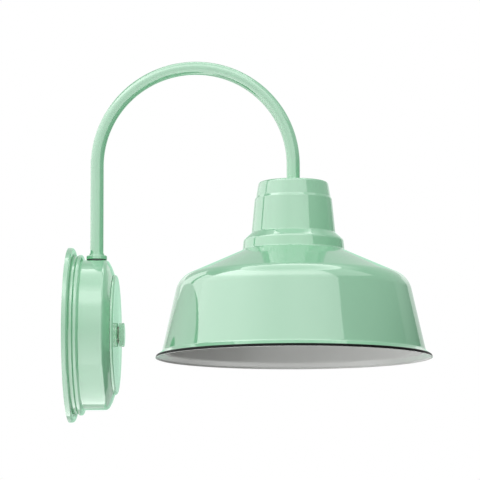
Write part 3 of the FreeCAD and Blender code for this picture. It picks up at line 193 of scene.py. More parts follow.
def row_sample(tree, section, row, value, kind):
    """The value at the section's point for this row."""
    sample = add(
        tree,
        "GeometryNodeSampleIndex",
        data_type=kind,
        domain="POINT",
        in_Geometry=section,
        in_Index=row,
    )
    tree.links.new(value, sample.inputs["Value"])
    return sample.outputs["Value"]


def thread_cut(tree, given, read, share):
    """Depth of the helix at each point."""
    pitches = maths(tree, "DIVIDE", read("height"), given["Thread Pitch"])
    lead = maths(tree, "FRACT", maths(tree, "SUBTRACT", pitches, share))
    swing = maths(tree, "COSINE", maths(tree, "MULTIPLY", lead, 2 * math.pi))
    ridge = maths(tree, "SUBTRACT", 0.5, maths(tree, "MULTIPLY", 0.5, swing))
    depth = maths(tree, "MULTIPLY", ridge, given["Thread Depth"])
    return maths(tree, "MULTIPLY", depth, read("threaded"))


def rib_height(tree, given, read, angle):
    """Height of the ribs at each point."""
    wave = maths(tree, "COSINE", maths(tree, "MULTIPLY", angle, given["Rib Count"]))
    height = maths(tree, "MULTIPLY", wave, given["Rib Depth"])
    return maths(tree, "MULTIPLY", height, read("ribbed"))


def coated(tree, given, formed):
    """The outside's finish, and past the given rows the edge's and the lining's."""
    coat = add(
        tree, "GeometryNodeSetMaterial", in_Geometry=formed, in_Material=given["Outside"]
    )
    strip = add(tree, "GeometryNodeInputNamedAttribute", data_type="FLOAT", in_Name="row")
    for first, finish_name in (("Edge From", "Edge"), ("Lining From", "Lining")):
        beyond = add(tree, "FunctionNodeCompare", data_type="FLOAT", operation="GREATER_THAN")
        tree.links.new(strip.outputs["Attribute"], beyond.inputs[0])
        tree.links.new(given[first], beyond.inputs[1])
        coat = add(
            tree,
            "GeometryNodeSetMaterial",
            in_Geometry=coat.outputs[0],
            in_Selection=beyond.outputs[0],
            in_Material=given[finish_name],
        )
    return coat.outputs[0]


def turned_tree():
    """A section carried round an axis or along a path.

    The section is a mesh of loose points. Each has its middle as its position, its
    distance from the middle as rho, and the two directions that it is carried
    round in as side and across. The marks threaded and ribbed say where the helix
    and the ribs stand.
    """
    tree = new_tree(
        "turned_form",
        [
            ("Segments", "NodeSocketInt", 128),
            ("Rows", "NodeSocketInt", 2),
            ("Thread Pitch", "NodeSocketFloat", 0.001),
            ("Thread Depth", "NodeSocketFloat", 0.0),
            ("Rib Count", "NodeSocketInt", 0),
            ("Rib Depth", "NodeSocketFloat", 0.0),
            ("Edge From", "NodeSocketInt", 100000),
            ("Lining From", "NodeSocketInt", 100000),
            ("Outside", "NodeSocketMaterial", None),
            ("Edge", "NodeSocketMaterial", None),
            ("Lining", "NodeSocketMaterial", None),
        ],
    )
    given = add(tree, "NodeGroupInput").outputs
    grid = add(tree, "GeometryNodeMeshGrid")
    tree.links.new(maths(tree, "ADD", given["Segments"], 1), grid.inputs["Vertices X"])
    tree.links.new(given["Rows"], grid.inputs["Vertices Y"])
    index = add(tree, "GeometryNodeInputIndex").outputs[0]
    row = maths(tree, "FLOORED_MODULO", index, given["Rows"])
    along = maths(tree, "DIVIDE", maths(tree, "ADD", index, 0.5), given["Rows"])
    share = maths(tree, "DIVIDE", maths(tree, "FLOOR", along), given["Segments"])
    angle = maths(tree, "MULTIPLY", share, 2 * math.pi)

    def read(name, kind="FLOAT"):
        named = add(tree, "GeometryNodeInputNamedAttribute", data_type=kind, in_Name=name)
        return row_sample(tree, given["Geometry"], row, named.outputs["Attribute"], kind)

    spot = add(tree, "GeometryNodeInputPosition").outputs[0]
    middle = row_sample(tree, given["Geometry"], row, spot, "FLOAT_VECTOR")
    proud = maths(tree, "ADD", read("rho"), rib_height(tree, given, read, angle))
    reach = maths(tree, "SUBTRACT", proud, thread_cut(tree, given, read, share))
    arms = []
    for way, turn in (("side", "COSINE"), ("across", "SINE")):
        length = maths(tree, "MULTIPLY", reach, maths(tree, turn, angle))
        arm = add(tree, "ShaderNodeVectorMath", operation="SCALE", in_0=read(way, "FLOAT_VECTOR"))
        tree.links.new(length, arm.inputs["Scale"])
        arms.append(arm.outputs[0])
    offset = add(tree, "ShaderNodeVectorMath", operation="ADD", in_0=arms[0], in_1=arms[1])
    point = add(tree, "ShaderNodeVectorMath", operation="ADD", in_0=middle, in_1=offset.outputs[0])
    marked = add(
        tree,
        "GeometryNodeStoreNamedAttribute",
        data_type="FLOAT",
        domain="POINT",
        in_Geometry=grid.outputs["Mesh"],
        in_Name="row",
        in_Value=row,
    )
    formed = add(
        tree, "GeometryNodeSetPosition", in_Geometry=marked.outputs[0], in_Position=point.outputs[0]
    )
    finished = coated(tree, given, formed.outputs[0])
    whole = add(tree, "GeometryNodeMergeByDistance", in_Geometry=finished, in_Distance=WELD)
    real = add(tree, "GeometryNodeRealizeInstances", in_Geometry=whole.outputs[0])
    last = add(tree, "NodeGroupOutput")
    tree.links.new(real.outputs[0], last.inputs[0])
    return tree


# ---- pieces ------------------------------------------------------------------------


def mesh_object(name, mesh):
    thing = bpy.data.objects.new(name, mesh)
    bpy.context.scene.collection.objects.link(thing)
    return thing


def made_real(thing):
    """The object with its modifiers' result as a plain mesh."""
    graph = bpy.context.evaluated_depsgraph_get()
    mesh = bpy.data.meshes.new_from_object(thing.evaluated_get(graph), depsgraph=graph)
    thing.modifiers.clear()
    thing.data = mesh
    return thing


def shade_smooth(mesh, angle):
    mesh.shade_smooth()
    mesh.set_sharp_from_angle(angle=math.radians(angle))


def section_mesh(name, rows):
    """Loose points that carry the section. Rows are dicts of values in millimetres."""
    mesh = bpy.data.meshes.new(name)
    mesh.from_pydata([Vector(row["middle"]) * MM for row in rows], [], [])
    for key, kind in (("rho", "FLOAT"), ("height", "FLOAT"), ("threaded", "FLOAT"), ("ribbed", "FLOAT")):
        layer = mesh.attributes.new(key, kind, "POINT")
        scale = MM if key in ("rho", "height") else 1
        for i, row in enumerate(rows):
            layer.data[i].value = row.get(key, 0) * scale
    for key in ("side", "across"):
        layer = mesh.attributes.new(key, "FLOAT_VECTOR", "POINT")
        for i, row in enumerate(rows):
            layer.data[i].vector = row[key]
    return mesh


TURNED = turned_tree()


def form(name, rows, sizes, coats):
    """Runs the tree on a section and gives the plain mesh."""
    thing = mesh_object(name, section_mesh(f"{name}_section", rows))
    step = thing.modifiers.new("turned_form", "NODES")
    step.node_group = TURNED
    names = {
        item.name: item.identifier
        for item in TURNED.interface.items_tree
        if item.in_out == "INPUT"
    }
    values = {"Rows": len(rows), **sizes, **coats}
    for label, value in values.items():
        step[names[label]] = value
    made_real(thing)
    outward(thing.data)
    shade_smooth(thing.data, TURNED_EDGE)
    return thing


def outward(mesh):
    """Closes seams and poles and turns the faces outward."""
    work = bmesh.new()
    work.from_mesh(mesh)
    bmesh.ops.remove_doubles(work, verts=work.verts, dist=HAIR)
    bmesh.ops.dissolve_degenerate(work, edges=work.edges, dist=HAIR)
    bmesh.ops.recalc_face_normals(work, faces=work.faces)
    work.to_mesh(mesh)
    work.free()


def upright_rows(line, x, z=0.0, marks=None):
    """Rows of a section (radius, height) about an upright axis at x."""
    rows = []
    for i, point in enumerate(line):
        rows.append(
            {
                "middle": (x, 0, z + point[1]),
                "rho": point[0],
                "height": z + point[1],
                "side": (1, 0, 0),
                "across": (0, 1, 0),
                **(marks(i, point) if marks else {}),
            }
        )
    return rows


def level_rows(line, y=0.0, z=0.0, marks=None):
    """Rows of a section (distance, radius) about an axis that runs out of the wall."""
    rows = []
    for i, point in enumerate(line):
        rows.append(
            {
                "middle": (point[0], y, z),
                "rho": point[1],
                "height": point[0],
                "side": (0, 1, 0),
                "across": (0, 0, 1),
                **(marks(i, point) if marks else {}),
            }
        )
    return rows


def closed(line):
    return line + [line[0]]


def even_skin(mesh):
    """Joins the loose triangles of a copied mesh."""
    work = bmesh.new()
    work.from_mesh(mesh)
    bmesh.ops.remove_doubles(work, verts=work.verts, dist=WELD)
    work.to_mesh(mesh)
    work.free()


def smooth_copy(node, material):
    """The node's own mesh, joined up and smooth, in place of its loose triangles."""
    mesh = NODES[node].data.copy()
    mesh.name = f"{node}_smooth"
    even_skin(mesh)
    mesh.materials.clear()
    mesh.materials.append(material)
    for face in mesh.polygons:
        face.material_index = 0
    if mesh.has_custom_normals:
        mesh.attributes.remove(mesh.attributes["custom_normal"])
    thing = mesh_object(f"{node}_finish", mesh)
    shade_smooth(mesh, PRESSED_EDGE)
    even = thing.modifiers.new("even_normals", "WEIGHTED_NORMAL")
    even.keep_sharp = True
    even.weight = 50
    made_real(thing)
    settle(thing, node)
    return thing


def settle(thing, *nodes):
    """The piece stands for these nodes and rides on their body."""
    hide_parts(*nodes)
    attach(thing, BODY_OF[nodes[0]])


def one_piece(name, things):
    """Several forms of one node as a single object."""
    work = bmesh.new()
    for thing in things:
        work.from_mesh(thing.data)
    mesh = bpy.data.meshes.new(name)
    for material in things[0].data.materials:
        mesh.materials.append(material)
    work.to_mesh(mesh)
    work.free()
    for thing in things:
        bpy.data.objects.remove(thing)
    joined = mesh_object(name, mesh)
    shade_smooth(mesh, TURNED_EDGE)
    return joined


def solids_of(node):
    """Lowest and highest corner of each solid in a node, in millimetres."""
    work = bmesh.new()
    work.from_mesh(NODES[node].data)
    bmesh.ops.remove_doubles(work, verts=work.verts, dist=WELD)
    left = set(work.verts)
    corners = []
    while left:
        front = [left.pop()]
        group = list(front)
        while front:
            vert = front.pop()
            near = {edge.other_vert(vert) for edge in vert.link_edges}
            fresh = near & left
            left.difference_update(fresh)
            front += fresh
            group += fresh
        spots = [vert.co / MM for vert in group]
        low = Vector(min(spot[i] for spot in spots) for i in range(3))
        high = Vector(max(spot[i] for spot in spots) for i in range(3))
        corners.append((low, high))
    work.free()
    return sorted(corners, key=lambda pair: tuple(pair[0]))


# ---- materials -----------------------------------------------------------------------


def linear(red, green, blue):
    """Linear values of a colour written as it looks on screen, 0 to 255."""
    def one(value):
        value /= 255
        return value / 12.92 if value <= 0.04045 else ((value + 0.055) / 1.055) ** 2.4
    return one(red), one(green), one(blue)


def skin_tree(name, stretch=(1, 1, 1), cells=False):
    """A skin with clouding in its colour, uneven gloss and a fine relief."""
    tree = bpy.data.node_groups.new(name, "ShaderNodeTree")
    for label, kind, value in (
        ("Color", "NodeSocketColor", (0.8, 0.8, 0.8, 1)),
        ("Clouding", "NodeSocketFloat", 0.03),
        ("Cloud Scale", "NodeSocketFloat", 18.0),
        ("Roughness", "NodeSocketFloat", 0.3),
        ("Uneven Gloss", "NodeSocketFloat", 0.05),
        ("Grain Scale", "NodeSocketFloat", 600.0),
        ("Grain Height", "NodeSocketFloat", 0.00001),
    ):
        socket = tree.interface.new_socket(label, in_out="INPUT", socket_type=kind)
        socket.default_value = value
    for label, kind in (("Color", "Color"), ("Roughness", "Float"), ("Normal", "Vector")):
        tree.interface.new_socket(label, in_out="OUTPUT", socket_type=f"NodeSocket{kind}")
    given = add(tree, "NodeGroupInput").outputs
    place = add(tree, "ShaderNodeTexCoord").outputs["Object"]
    drawn = add(tree, "ShaderNodeVectorMath", operation="MULTIPLY", in_0=place, in_1=stretch)
    cloud = add(
        tree, "ShaderNodeTexNoise", in_Vector=place, in_Scale=given["Cloud Scale"], in_Detail=3.0
    )
    centred = maths(tree, "SUBTRACT", cloud.outputs["Fac"], 0.5)
    shift = maths(tree, "MULTIPLY", centred, given["Clouding"])
    level = maths(tree, "ADD", 1.0, shift)
    tint = add(tree, "ShaderNodeVectorMath", operation="SCALE", in_0=given["Color"])
    tree.links.new(level, tint.inputs["Scale"])
    if cells:
        grain = add(tree, "ShaderNodeTexVoronoi", in_Vector=drawn.outputs[0])
        relief = grain.outputs["Distance"]
    else:
        grain = add(tree, "ShaderNodeTexNoise", in_Vector=drawn.outputs[0], in_Detail=2.0)
        relief = grain.outputs["Fac"]
    tree.links.new(given["Grain Scale"], grain.inputs["Scale"])
    uneven = maths(tree, "ADD", centred, maths(tree, "SUBTRACT", relief, 0.5))
    worn = maths(tree, "MULTIPLY", uneven, given["Uneven Gloss"])
    gloss = maths(tree, "MAXIMUM", maths(tree, "ADD", given["Roughness"], worn), 0.02)
    bump = add(tree, "ShaderNodeBump", in_Height=relief, in_Distance=given["Grain Height"])
    last = add(tree, "NodeGroupOutput")
    tree.links.new(tint.outputs[0], last.inputs["Color"])
    tree.links.new(gloss, last.inputs["Roughness"])
    tree.links.new(bump.outputs[0], last.inputs["Normal"])
    return tree


GLAZE = skin_tree("glaze_skin")
MOULDED = skin_tree("moulded_skin")
DRAWN = skin_tree("drawn_metal_skin", stretch=(1, 1, 0.06))
CELLS = skin_tree("foam_cells", cells=True)


def finish(name, tree, color, values, **shader_values):
    """A material: one of the skins, its values, and plain values of the shader."""
    material = bpy.data.materials.new(name)
    material.use_nodes = True
    nodes = material.node_tree
    shader = nodes.nodes["Principled BSDF"]
    skin = nodes.nodes.new("ShaderNodeGroup")
    skin.node_tree = tree
    skin.inputs["Color"].default_value = (*linear(*color), 1)
    for label, value in values.items():
        skin.inputs[label].default_value = value
    nodes.links.new(skin.outputs["Color"], shader.inputs["Base Color"])
    nodes.links.new(skin.outputs["Roughness"], shader.inputs["Roughness"])
    nodes.links.new(skin.outputs["Normal"], shader.inputs["Normal"])
    for label, value in shader_values.items():
        shader.inputs[label.replace("_", " ")].default_value = value
    return material


def enamel(name, color, roughness=0.05, **values):
    skin = {
        "Clouding": 0.035,
        "Cloud Scale": 14.0,
        "Roughness": roughness,
        "Uneven Gloss": 0.03,
        "Grain Scale": 150.0,
        "Grain Height": 0.000005,
    }
    return finish(name, GLAZE, color, skin, **values)


def metal(name, color, roughness, grain=900.0, height=0.000004):
    skin = {
        "Clouding": 0.16,
        "Cloud Scale": 60.0,
        "Roughness": roughness,
        "Uneven Gloss": 0.12,
        "Grain Scale": grain,
        "Grain Height": height,
    }
    return finish(name, DRAWN, color, skin, Metallic=1.0)


def moulding(name, color, roughness, tree=MOULDED, grain=1500.0, height=0.000012, **values):
    skin = {
        "Clouding": 0.07,
        "Cloud Scale": 45.0,
        "Roughness": roughness,
        "Uneven Gloss": 0.1,
        "Grain Scale": grain,
        "Grain Height": height,
    }
    return finish(name, tree, color, skin, **values)


MINT = enamel("mint_enamel", MINT_COLOR, Specular_IOR_Level=1.0)
# White enamel for the lining, greyed with painted shade.
LINING_WHITE_AND_SHADE = enamel("white_enamel_and_painted_shade", LINING_WHITE_AND_SHADE_COLOR, 0.2, Specular_IOR_Level=0.15)
BLACK = enamel("black_enamel", (6, 10, 8), 0.35, Specular_IOR_Level=0.05)
FINISHES = {
    "mint_enamel": MINT,
    "foam": moulding("closed_cell_foam", (58, 58, 60), 0.85, CELLS, 1400.0, 0.00012),
    "black_rubber": moulding("black_rubber", (26, 30, 27), 0.62),
    "zinc_steel": metal("zinc_plated_steel", (196, 197, 196), 0.34),
    "green_screw": metal("green_dyed_zinc", (38, 128, 62), 0.36),
    "brass": metal("rolled_brass", (206, 172, 98), 0.27),
    "nickel": metal("nickel_plate", (206, 203, 196), 0.17),
    "nylon": moulding("natural_nylon", (222, 218, 204), 0.42),
    "porcelain": enamel("glazed_porcelain", (232, 229, 221), 0.12),
    "wire_black": moulding("black_insulation", (24, 24, 25), 0.4),
    "wire_white": moulding("white_insulation", (222, 222, 217), 0.4),
    "wire_green": moulding("green_insulation", (30, 122, 62), 0.4),
    "nut_plastic": moulding("orange_nut_plastic", (222, 112, 34), 0.3),
    "bulb_glass": moulding(
        "frosted_glass", (240, 240, 236), 0.38, grain=2600.0, Transmission_Weight=0.35
    ),
    "bulb_cap": metal("rolled_aluminium", (212, 212, 208), 0.3),
    "bulb_insulator": enamel("black_glass", (14, 14, 19), 0.08),
    "solder": metal("solder", (186, 187, 186), 0.4, 500.0, 0.00003),
}


# ---- shade -------------------------------------------------------------------------

SHADE_LINE = [
    (8.855, 0),
    (44.6, 0, 3.9),
    (47.9, -19.4, 2.0),
    (49.7, -22.4, 2.0),
    (54.0, -66.5, 2.0),
    (64.2, -75.4, 5.0),
    (65.6, -88.9, 2.5),
    (148.1, -125.6, 29.0),
    (169.1, -219.3, 4.0),
    (176.9, -224.6, 2.5),
    (177.8, -227.4),
]
SHADE_WALL = 1.2
LIP_FROM = 172.0


def spun_shade():
    outer, inner = sheet_section(SHADE_LINE, SHADE_WALL, step=4.0, longest=6.0)
    lip = next(i for i, point in enumerate(outer) if point.x > LIP_FROM)
    line = closed(outer + inner[::-1])
    rows = upright_rows(line, SHADE_AXIS, NECK_TOP)
    coats = {"Outside": MINT, "Edge": BLACK, "Lining": LINING_WHITE_AND_SHADE}
    sizes = {"Segments": 256, "Edge From": lip, "Lining From": len(outer) - 1}
    settle(form("enamelled_shade", rows, sizes, coats), "shade")


# ---- arm ----------------------------------------------------------------------------


def arm_spine():
    """Middle of the tube and the direction out of its bend, end to end."""
    spine = []
    for k in range(13):
        spine.append((ARM_AXIS, TUBE_FOOT + (SPRING_LINE - TUBE_FOOT) * k / 12, math.pi))
    for k in range(1, 120):
        turn = math.pi - math.pi * k / 120
        x = ARM_AXIS + BEND + BEND * math.cos(turn)
        spine.append((x, SPRING_LINE + BEND * math.sin(turn), turn))
    for k in range(5):
        spine.append((ARM_AXIS + 2 * BEND, SPRING_LINE + (TUBE_HEAD - SPRING_LINE) * k / 4, 0.0))
    return spine


def arm_rows(radius, spine):
    return [
        {
            "middle": (x, 0, z),
            "rho": radius,
            "side": (math.cos(turn), 0, math.sin(turn)),
            "across": (0, 1, 0),
        }
        for x, z, turn in spine
    ]


def one_coat(material):
    return {"Outside": material, "Edge": material, "Lining": material}


def bent_arm():
    spine = arm_spine()
    rows = arm_rows(TUBE_RADIUS, spine) + arm_rows(TUBE_RADIUS - TUBE_WALL, spine[::-1])
    rows.append(rows[0])
    settle(form("bent_arm", rows, {"Segments": 72}, one_coat(MINT)), "gooseneck_tube")


# ---- screws, stud and threads ---------------------------------------------------------


def threaded_line(start, end, radius):
    """Places close enough together along a shank for its thread to show."""
    count = max(8, round(abs(end - start) / 0.09))
    return [(start + (end - start) * k / count, radius, 1.0, 0.0) for k in range(count + 1)]


def cross_head(seat, top, radius):
    """Pan head with a four-lobed recess: places along it, radii and marks."""
    rise = top - seat
    return [
        (seat, radius, 0, 0),
        (seat + rise * 0.45, radius, 0, 0),
        (seat + rise * 0.8, radius * 0.86, 0, 0),
        (seat + rise * 0.95, radius * 0.66, 0, 0),
        (top, radius * 0.5, 0, 0),
        (top, radius * 0.34, 0, 1.0),
        (top - rise * 0.5, radius * 0.3, 0, 1.0),
        (top - rise * 0.55, 0, 0, 0),
    ]


def screw_rows(line, y, z):
    return level_rows(
        line, y, z, lambda i, point: {"threaded": point[2], "ribbed": point[3]}
    )


def screws(node, shank, head_height):
    """The screws of a node, each turned to where its solid is."""
    material = FINISHES[SLOT_OF[node]]
    sizes = {
        "Segments": 40,
        "Thread Pitch": 0.0007,
        "Thread Depth": 0.0003,
        "Rib Count": 4,
        "Rib Depth": 0.0004,
    }
    things = []
    for low, high in solids_of(node):
        outward_side = node == "cap_screws" and low.x < SHADE_AXIS
        tail, top = (high.x, low.x) if outward_side else (low.x, high.x)
        way = 1 if top > tail else -1
        seat = top - way * head_height
        head = (high.y - low.y) / 2
        line = [(tail, 0, 0, 0), (tail, shank * 0.8, 0, 0)]
        line += threaded_line(tail + way * 0.3, seat, shank)
        line += cross_head(seat, top, head)
        rows = screw_rows(line, (low.y + high.y) / 2, (low.z + high.z) / 2)
        things.append(form(f"{node}_{len(things)}", rows, sizes, one_coat(material)))
    settle(one_piece(f"{node}_turned", things), node)


def threaded_stud():
    (low, high), = solids_of("centre_stud")
    radius, collar = 3.175, low.x + 2.5
    line = [(low.x, 0, 0, 0), (low.x, 5.6, 0, 0), (low.x + 0.4, 6.0, 0, 0), (collar, 6.0, 0, 0)]
    line += threaded_line(collar, high.x - 1.0, radius)
    line += [(high.x, radius - 0.8, 0, 0), (high.x, 0, 0, 0)]
    sizes = {"Segments": 56, "Thread Pitch": 0.00127, "Thread Depth": 0.0006}
    coats = one_coat(FINISHES["zinc_steel"])
    settle(form("threaded_stud", screw_rows(line, 0, 0), sizes, coats), "centre_stud")


def rolled_sheet(name, node, corners, wall, low, high, depth):
    """A thin upright sheet with a coarse rolled thread between two heights."""
    face, back = sheet_section(corners, wall, step=15.0, longest=0.3)
    line = closed(face + back[::-1])

    def marks(i, point):
        room = min(point[1] - low, high - point[1])
        return {"threaded": max(0.0, min(1.0, room / 1.2))}

    rows = upright_rows(line, SHADE_AXIS, 0.0, marks)
    sizes = {"Segments": 96, "Thread Pitch": 0.00363, "Thread Depth": depth}
    settle(form(name, rows, sizes, one_coat(FINISHES[SLOT_OF[node]])), node)


def bulb_thread():
    (low, high), = solids_of("bulb_screw_cap")
    head = high.z - 1.5
    corners = [(13.1, low.z), (13.1, head, 1.2), (9.0, high.z)]
    rolled_sheet("rolled_bulb_cap", "bulb_screw_cap", corners, -0.4, low.z + 1.5, head - 1.0, 0.0007)


def shell_thread():
    (low, high), = solids_of("screw_shell")
    corners = [(7.2, high.z), (13.9, high.z, 1.5), (13.9, low.z)]
    rolled_sheet("rolled_shell", "screw_shell", corners, 0.5, low.z + 1.0, high.z - 3.0, 0.00025)


def ribbed_nuts():
    things = []
    for low, high in solids_of("wire_nuts"):
        mouth, rib = high.z, 0.35
        corners = [
            (0, mouth - 24.0),
            (4.4 - rib, mouth - 24.0, 2.0),
            (7.2 - rib, mouth - 6.0, 3.0),
            (7.2, mouth - 3.0, 0.5),
            (7.2, mouth, 0.6),
            (3.4, mouth),
            (3.4, mouth - 12.0),
            (0, mouth - 12.0),
        ]
        line = rounded_line(corners, step=15.0, longest=2.0)
        outer = next(i for i, point in enumerate(line) if point.y > mouth - 4.0)

        def marks(i, point):
            return {"ribbed": 1.0 if 1 < i < outer else 0.0}

        rows = upright_rows(line, ARM_AXIS, 0.0, marks)
        for row in rows:
            row["middle"] = (row["middle"][0], (low.y + high.y) / 2, row["middle"][2])
        sizes = {"Segments": 144, "Rib Count": 18, "Rib Depth": rib * MM}
        coats = one_coat(FINISHES["nut_plastic"])
        things.append(form(f"wire_nut_{len(things)}", rows, sizes, coats))
    settle(one_piece("ribbed_wire_nuts", things), "wire_nuts")


def turned_and_threaded():
    spun_shade()
    bent_arm()
    for node, shank, height in (
        ("canopy_screws", 2.0, 2.5),
        ("bridge_screws", 2.0, 2.5),
        ("cap_screws", 1.5, 1.8),
    ):
        screws(node, shank, height)
    threaded_stud()
    bulb_thread()
    shell_thread()
    ribbed_nuts()


FORMED = (
    "shade",
    "gooseneck_tube",
    "canopy_screws",
    "bridge_screws",
    "cap_screws",
    "centre_stud",
    "bulb_screw_cap",
    "screw_shell",
    "wire_nuts",
)


def finish_the_rest():
    """Every other node keeps the form of its solid, smooth and in its own finish."""
    for node in sorted(NODES):
        if node not in FORMED:
            smooth_copy(node, FINISHES[SLOT_OF[node]])


turned_and_threaded()
finish_the_rest()

# ---- stage -------------------------------------------------------------------------------

# Places on the cards are a turn, from the camera's side toward +X, and a rise, from level
# upward, both in degrees. A line of stops is (place, brightness).
MIDDLE = Vector((0.2, 0.0, 0.1))
CARD_DISTANCE = 2.6
FAR_DISTANCE = 2.7
CARD_FOOT = 0.02
CARD_STEP = 3
LOWEST = -50
FRONT = (
    (-101, 4.1),
    (-70, 4.2),
    (-52, 4.2),
    (-32, 3.8),
    (-12, 3.4),
    (8, 3.5),
    (28, 3.3),
    (48, 2.9),
)
FRONT_RISE = (
    (-50, 1.15),
    (-20, 0.95),
    (0, 0.8),
    (7, 0.8),
    (18, 0.9),
    (36, 1.0),
    (46, 1.45),
    (60, 1.35),
)
LEFT = ((-146, 2.0), (-101, 3.4))
RIGHT = ((48, 0.5), (76, 0.3), (100, 0.14))
RIGHT_RISE = ((8, 0.0), (13, 0.1), (20, 0.62))
RIGHT_EDGE = ((10, 0.14), (16, 0.7))
BACK_RIGHT = ((9, 0.8), (15, 1.25))
HIGH_BACK = ((20, 0.8), (50, 0.65), (62, 1.6))
OVERHEAD = ((63, 4.2), (76, 2.7))
RIGHT_TOP = 1.9
BACK = 0.95
BACK_LEFT = 1.1
LOW = 3.7

# The canopy's card, a glowing disc that paints the canopy's lit face into the shade's reflections:
# its radius and how far it stands off the cover, in metres, and its brightness by the place across it.
CANOPY_RADIUS = 0.098
CANOPY_GAP = 0.002
CANOPY_REFLECTION_GLOW = ((-0.1, 1.9), (0.0, 1.5), (0.1, 0.45))


def between(stops, place):
    """Value at a place on a line of (place, value) stops."""
    if place <= stops[0][0]:
        return stops[0][1]
    for (start, first), (end, second) in zip(stops, stops[1:]):
        if place <= end:
            return first + (second - first) * (place - start) / (end - start)
    return stops[-1][1]


def glow_material(name, color=(1.0, 1.0, 1.0)):
    """Light whose strength is the sheet's own glow."""
    material = bpy.data.materials.new(name)
    material.use_nodes = True
    tree = material.node_tree
    tree.nodes.clear()
    level = add(tree, "ShaderNodeAttribute", attribute_name="glow").outputs["Fac"]
    light = add(tree, "ShaderNodeEmission", in_Color=(*color, 1), in_Strength=level)
    add(tree, "ShaderNodeOutputMaterial", in_Surface=light.outputs[0])
    return material


def clear_behind(material):
    """Makes the back of a one-sided sheet clear."""
    tree = material.node_tree
    last = next(node for node in tree.nodes if node.type == "OUTPUT_MATERIAL")
    front = last.inputs["Surface"].links[0].from_socket
    behind = add(tree, "ShaderNodeNewGeometry").outputs["Backfacing"]
    clear = add(tree, "ShaderNodeBsdfTransparent").outputs[0]
    choice = add(tree, "ShaderNodeMixShader", in_0=behind, in_1=front, in_2=clear)
    tree.links.new(choice.outputs[0], last.inputs["Surface"])
    return material


GLOW = glow_material("studio_glow")
PALE_GLOW = glow_material("pale_green_glow", (0.66, 1.0, 0.8))


def sheet(name, places, faces, material):
    mesh = bpy.data.meshes.new(name)
    mesh.from_pydata(places, [], faces)
    mesh.materials.append(material)
    return mesh_object(name, mesh)


def hide_from(thing, *rays):
    for ray in rays:
        setattr(thing, f"visible_{ray}", False)


def glowing_sheet(name, places, faces, glow, material):
    """A sheet that only shows in reflections, with its glow at each point."""
    card = sheet(name, places, faces, material)
    layer = card.data.attributes.new("glow", "FLOAT", "POINT")
    layer.data.foreach_set("value", glow)
    hide_from(card, "camera", "diffuse", "shadow", "transmission")
    return card


def card_place(turn, rise, distance):
    """A place on a card. Below level, a card stops just above the floor."""
    across, up = math.radians(turn), math.radians(rise)
    way = Vector(
        (math.sin(across) * math.cos(up), -math.cos(across) * math.cos(up), math.sin(up))
    )
    if rise < 0:
        distance = min(distance, (MIDDLE.z - FLOOR - CARD_FOOT) / math.sin(-up))
    return MIDDLE + way * distance


def studio_card(name, turns, rises, level, material=GLOW, distance=CARD_DISTANCE):
    """A curved card; level gives its brightness at a turn and a rise."""
    columns, rows = (max(2, round((end - start) / CARD_STEP)) for start, end in (turns, rises))
    places, glow, faces = [], [], []
    for j in range(rows + 1):
        rise = rises[0] + (rises[1] - rises[0]) * j / rows
        for i in range(columns + 1):
            turn = turns[0] + (turns[1] - turns[0]) * i / columns
            places.append(card_place(turn, rise, distance))
            glow.append(level(turn, rise))
    for j in range(rows):
        for i in range(columns):
            first = j * (columns + 1) + i
            faces.append((first, first + 1, first + columns + 2, first + columns + 1))
    return glowing_sheet(name, places, faces, glow, material)


def front_light(turn, rise):
    return between(FRONT, turn) * between(FRONT_RISE, rise)


def right_light(turn, rise):
    return between(RIGHT, turn) + between(RIGHT_RISE, rise)


def back_left_light(turn, rise):
    return BACK_LEFT + between(RIGHT_RISE, rise)


def by_turn(stops):
    return lambda turn, rise: between(stops, turn)


def by_rise(stops):
    return lambda turn, rise: between(stops, rise)


def all_over(level):
    return lambda turn, rise: level


def studio_cards():
    """Soft light in front and overhead, and darker cards at the right and behind."""
    return [
        studio_card("front_card", (-101, 48), (LOWEST, 62.8), front_light),
        studio_card("left_card", (-146, -101.2), (LOWEST, 40), by_turn(LEFT)),
        studio_card("right_card", (48.2, 118), (LOWEST, 36), right_light),
        studio_card("right_edge_card", (118.2, 146), (LOWEST, 36), by_rise(RIGHT_EDGE)),
        studio_card("right_top_card", (48.2, 99.8), (36.2, 62), all_over(RIGHT_TOP)),
        studio_card("back_right_card", (146.2, 168), (LOWEST, 19.5), by_rise(BACK_RIGHT)),
        studio_card("back_card", (168.2, 192), (LOWEST, 19.5), all_over(BACK), PALE_GLOW),
        studio_card("back_left_card", (192.2, 213.8), (LOWEST, 19.5), back_left_light),
        studio_card(
            "high_back_card", (100, 260), (20, 61.8), by_rise(HIGH_BACK), distance=FAR_DISTANCE
        ),
        studio_card("top_card", (-180, 180), (63, 90), by_rise(OVERHEAD)),
        studio_card("low_card", (-180, 180), (-90, LOWEST), all_over(LOW)),
    ]


def painted_canopy_reflection():
    """A glow disc painting the canopy's lit face into the shade's reflections; clear from the wall's
    side.
    """
    middle = Vector((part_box("front_cover")[1][0] + CANOPY_GAP, 0, 0))
    rim = []
    for k in range(96):
        turn = math.tau * k / 96
        rim.append(middle + Vector((0, math.cos(turn), math.sin(turn))) * CANOPY_RADIUS)
    glow = [between(CANOPY_REFLECTION_GLOW, place.y) for place in rim]
    material = clear_behind(glow_material("painted_canopy_reflection_glow"))
    return glowing_sheet("painted_canopy_reflection", rim, [tuple(range(96))], glow, material)


def right_flag():
    """A small dark flag at the right of the mouth, which deepens the inside's left."""
    corners = [(0.52, -0.3, -0.4), (0.52, 0.3, -0.4), (0.52, 0.3, -0.04), (0.52, -0.3, -0.04)]
    cloth = moulding("flag_cloth", (20, 20, 20), 0.9)
    flag = sheet("right_flag", corners, [(0, 1, 2, 3)], cloth)
    hide_from(flag, "camera", "glossy", "transmission")
    return flag


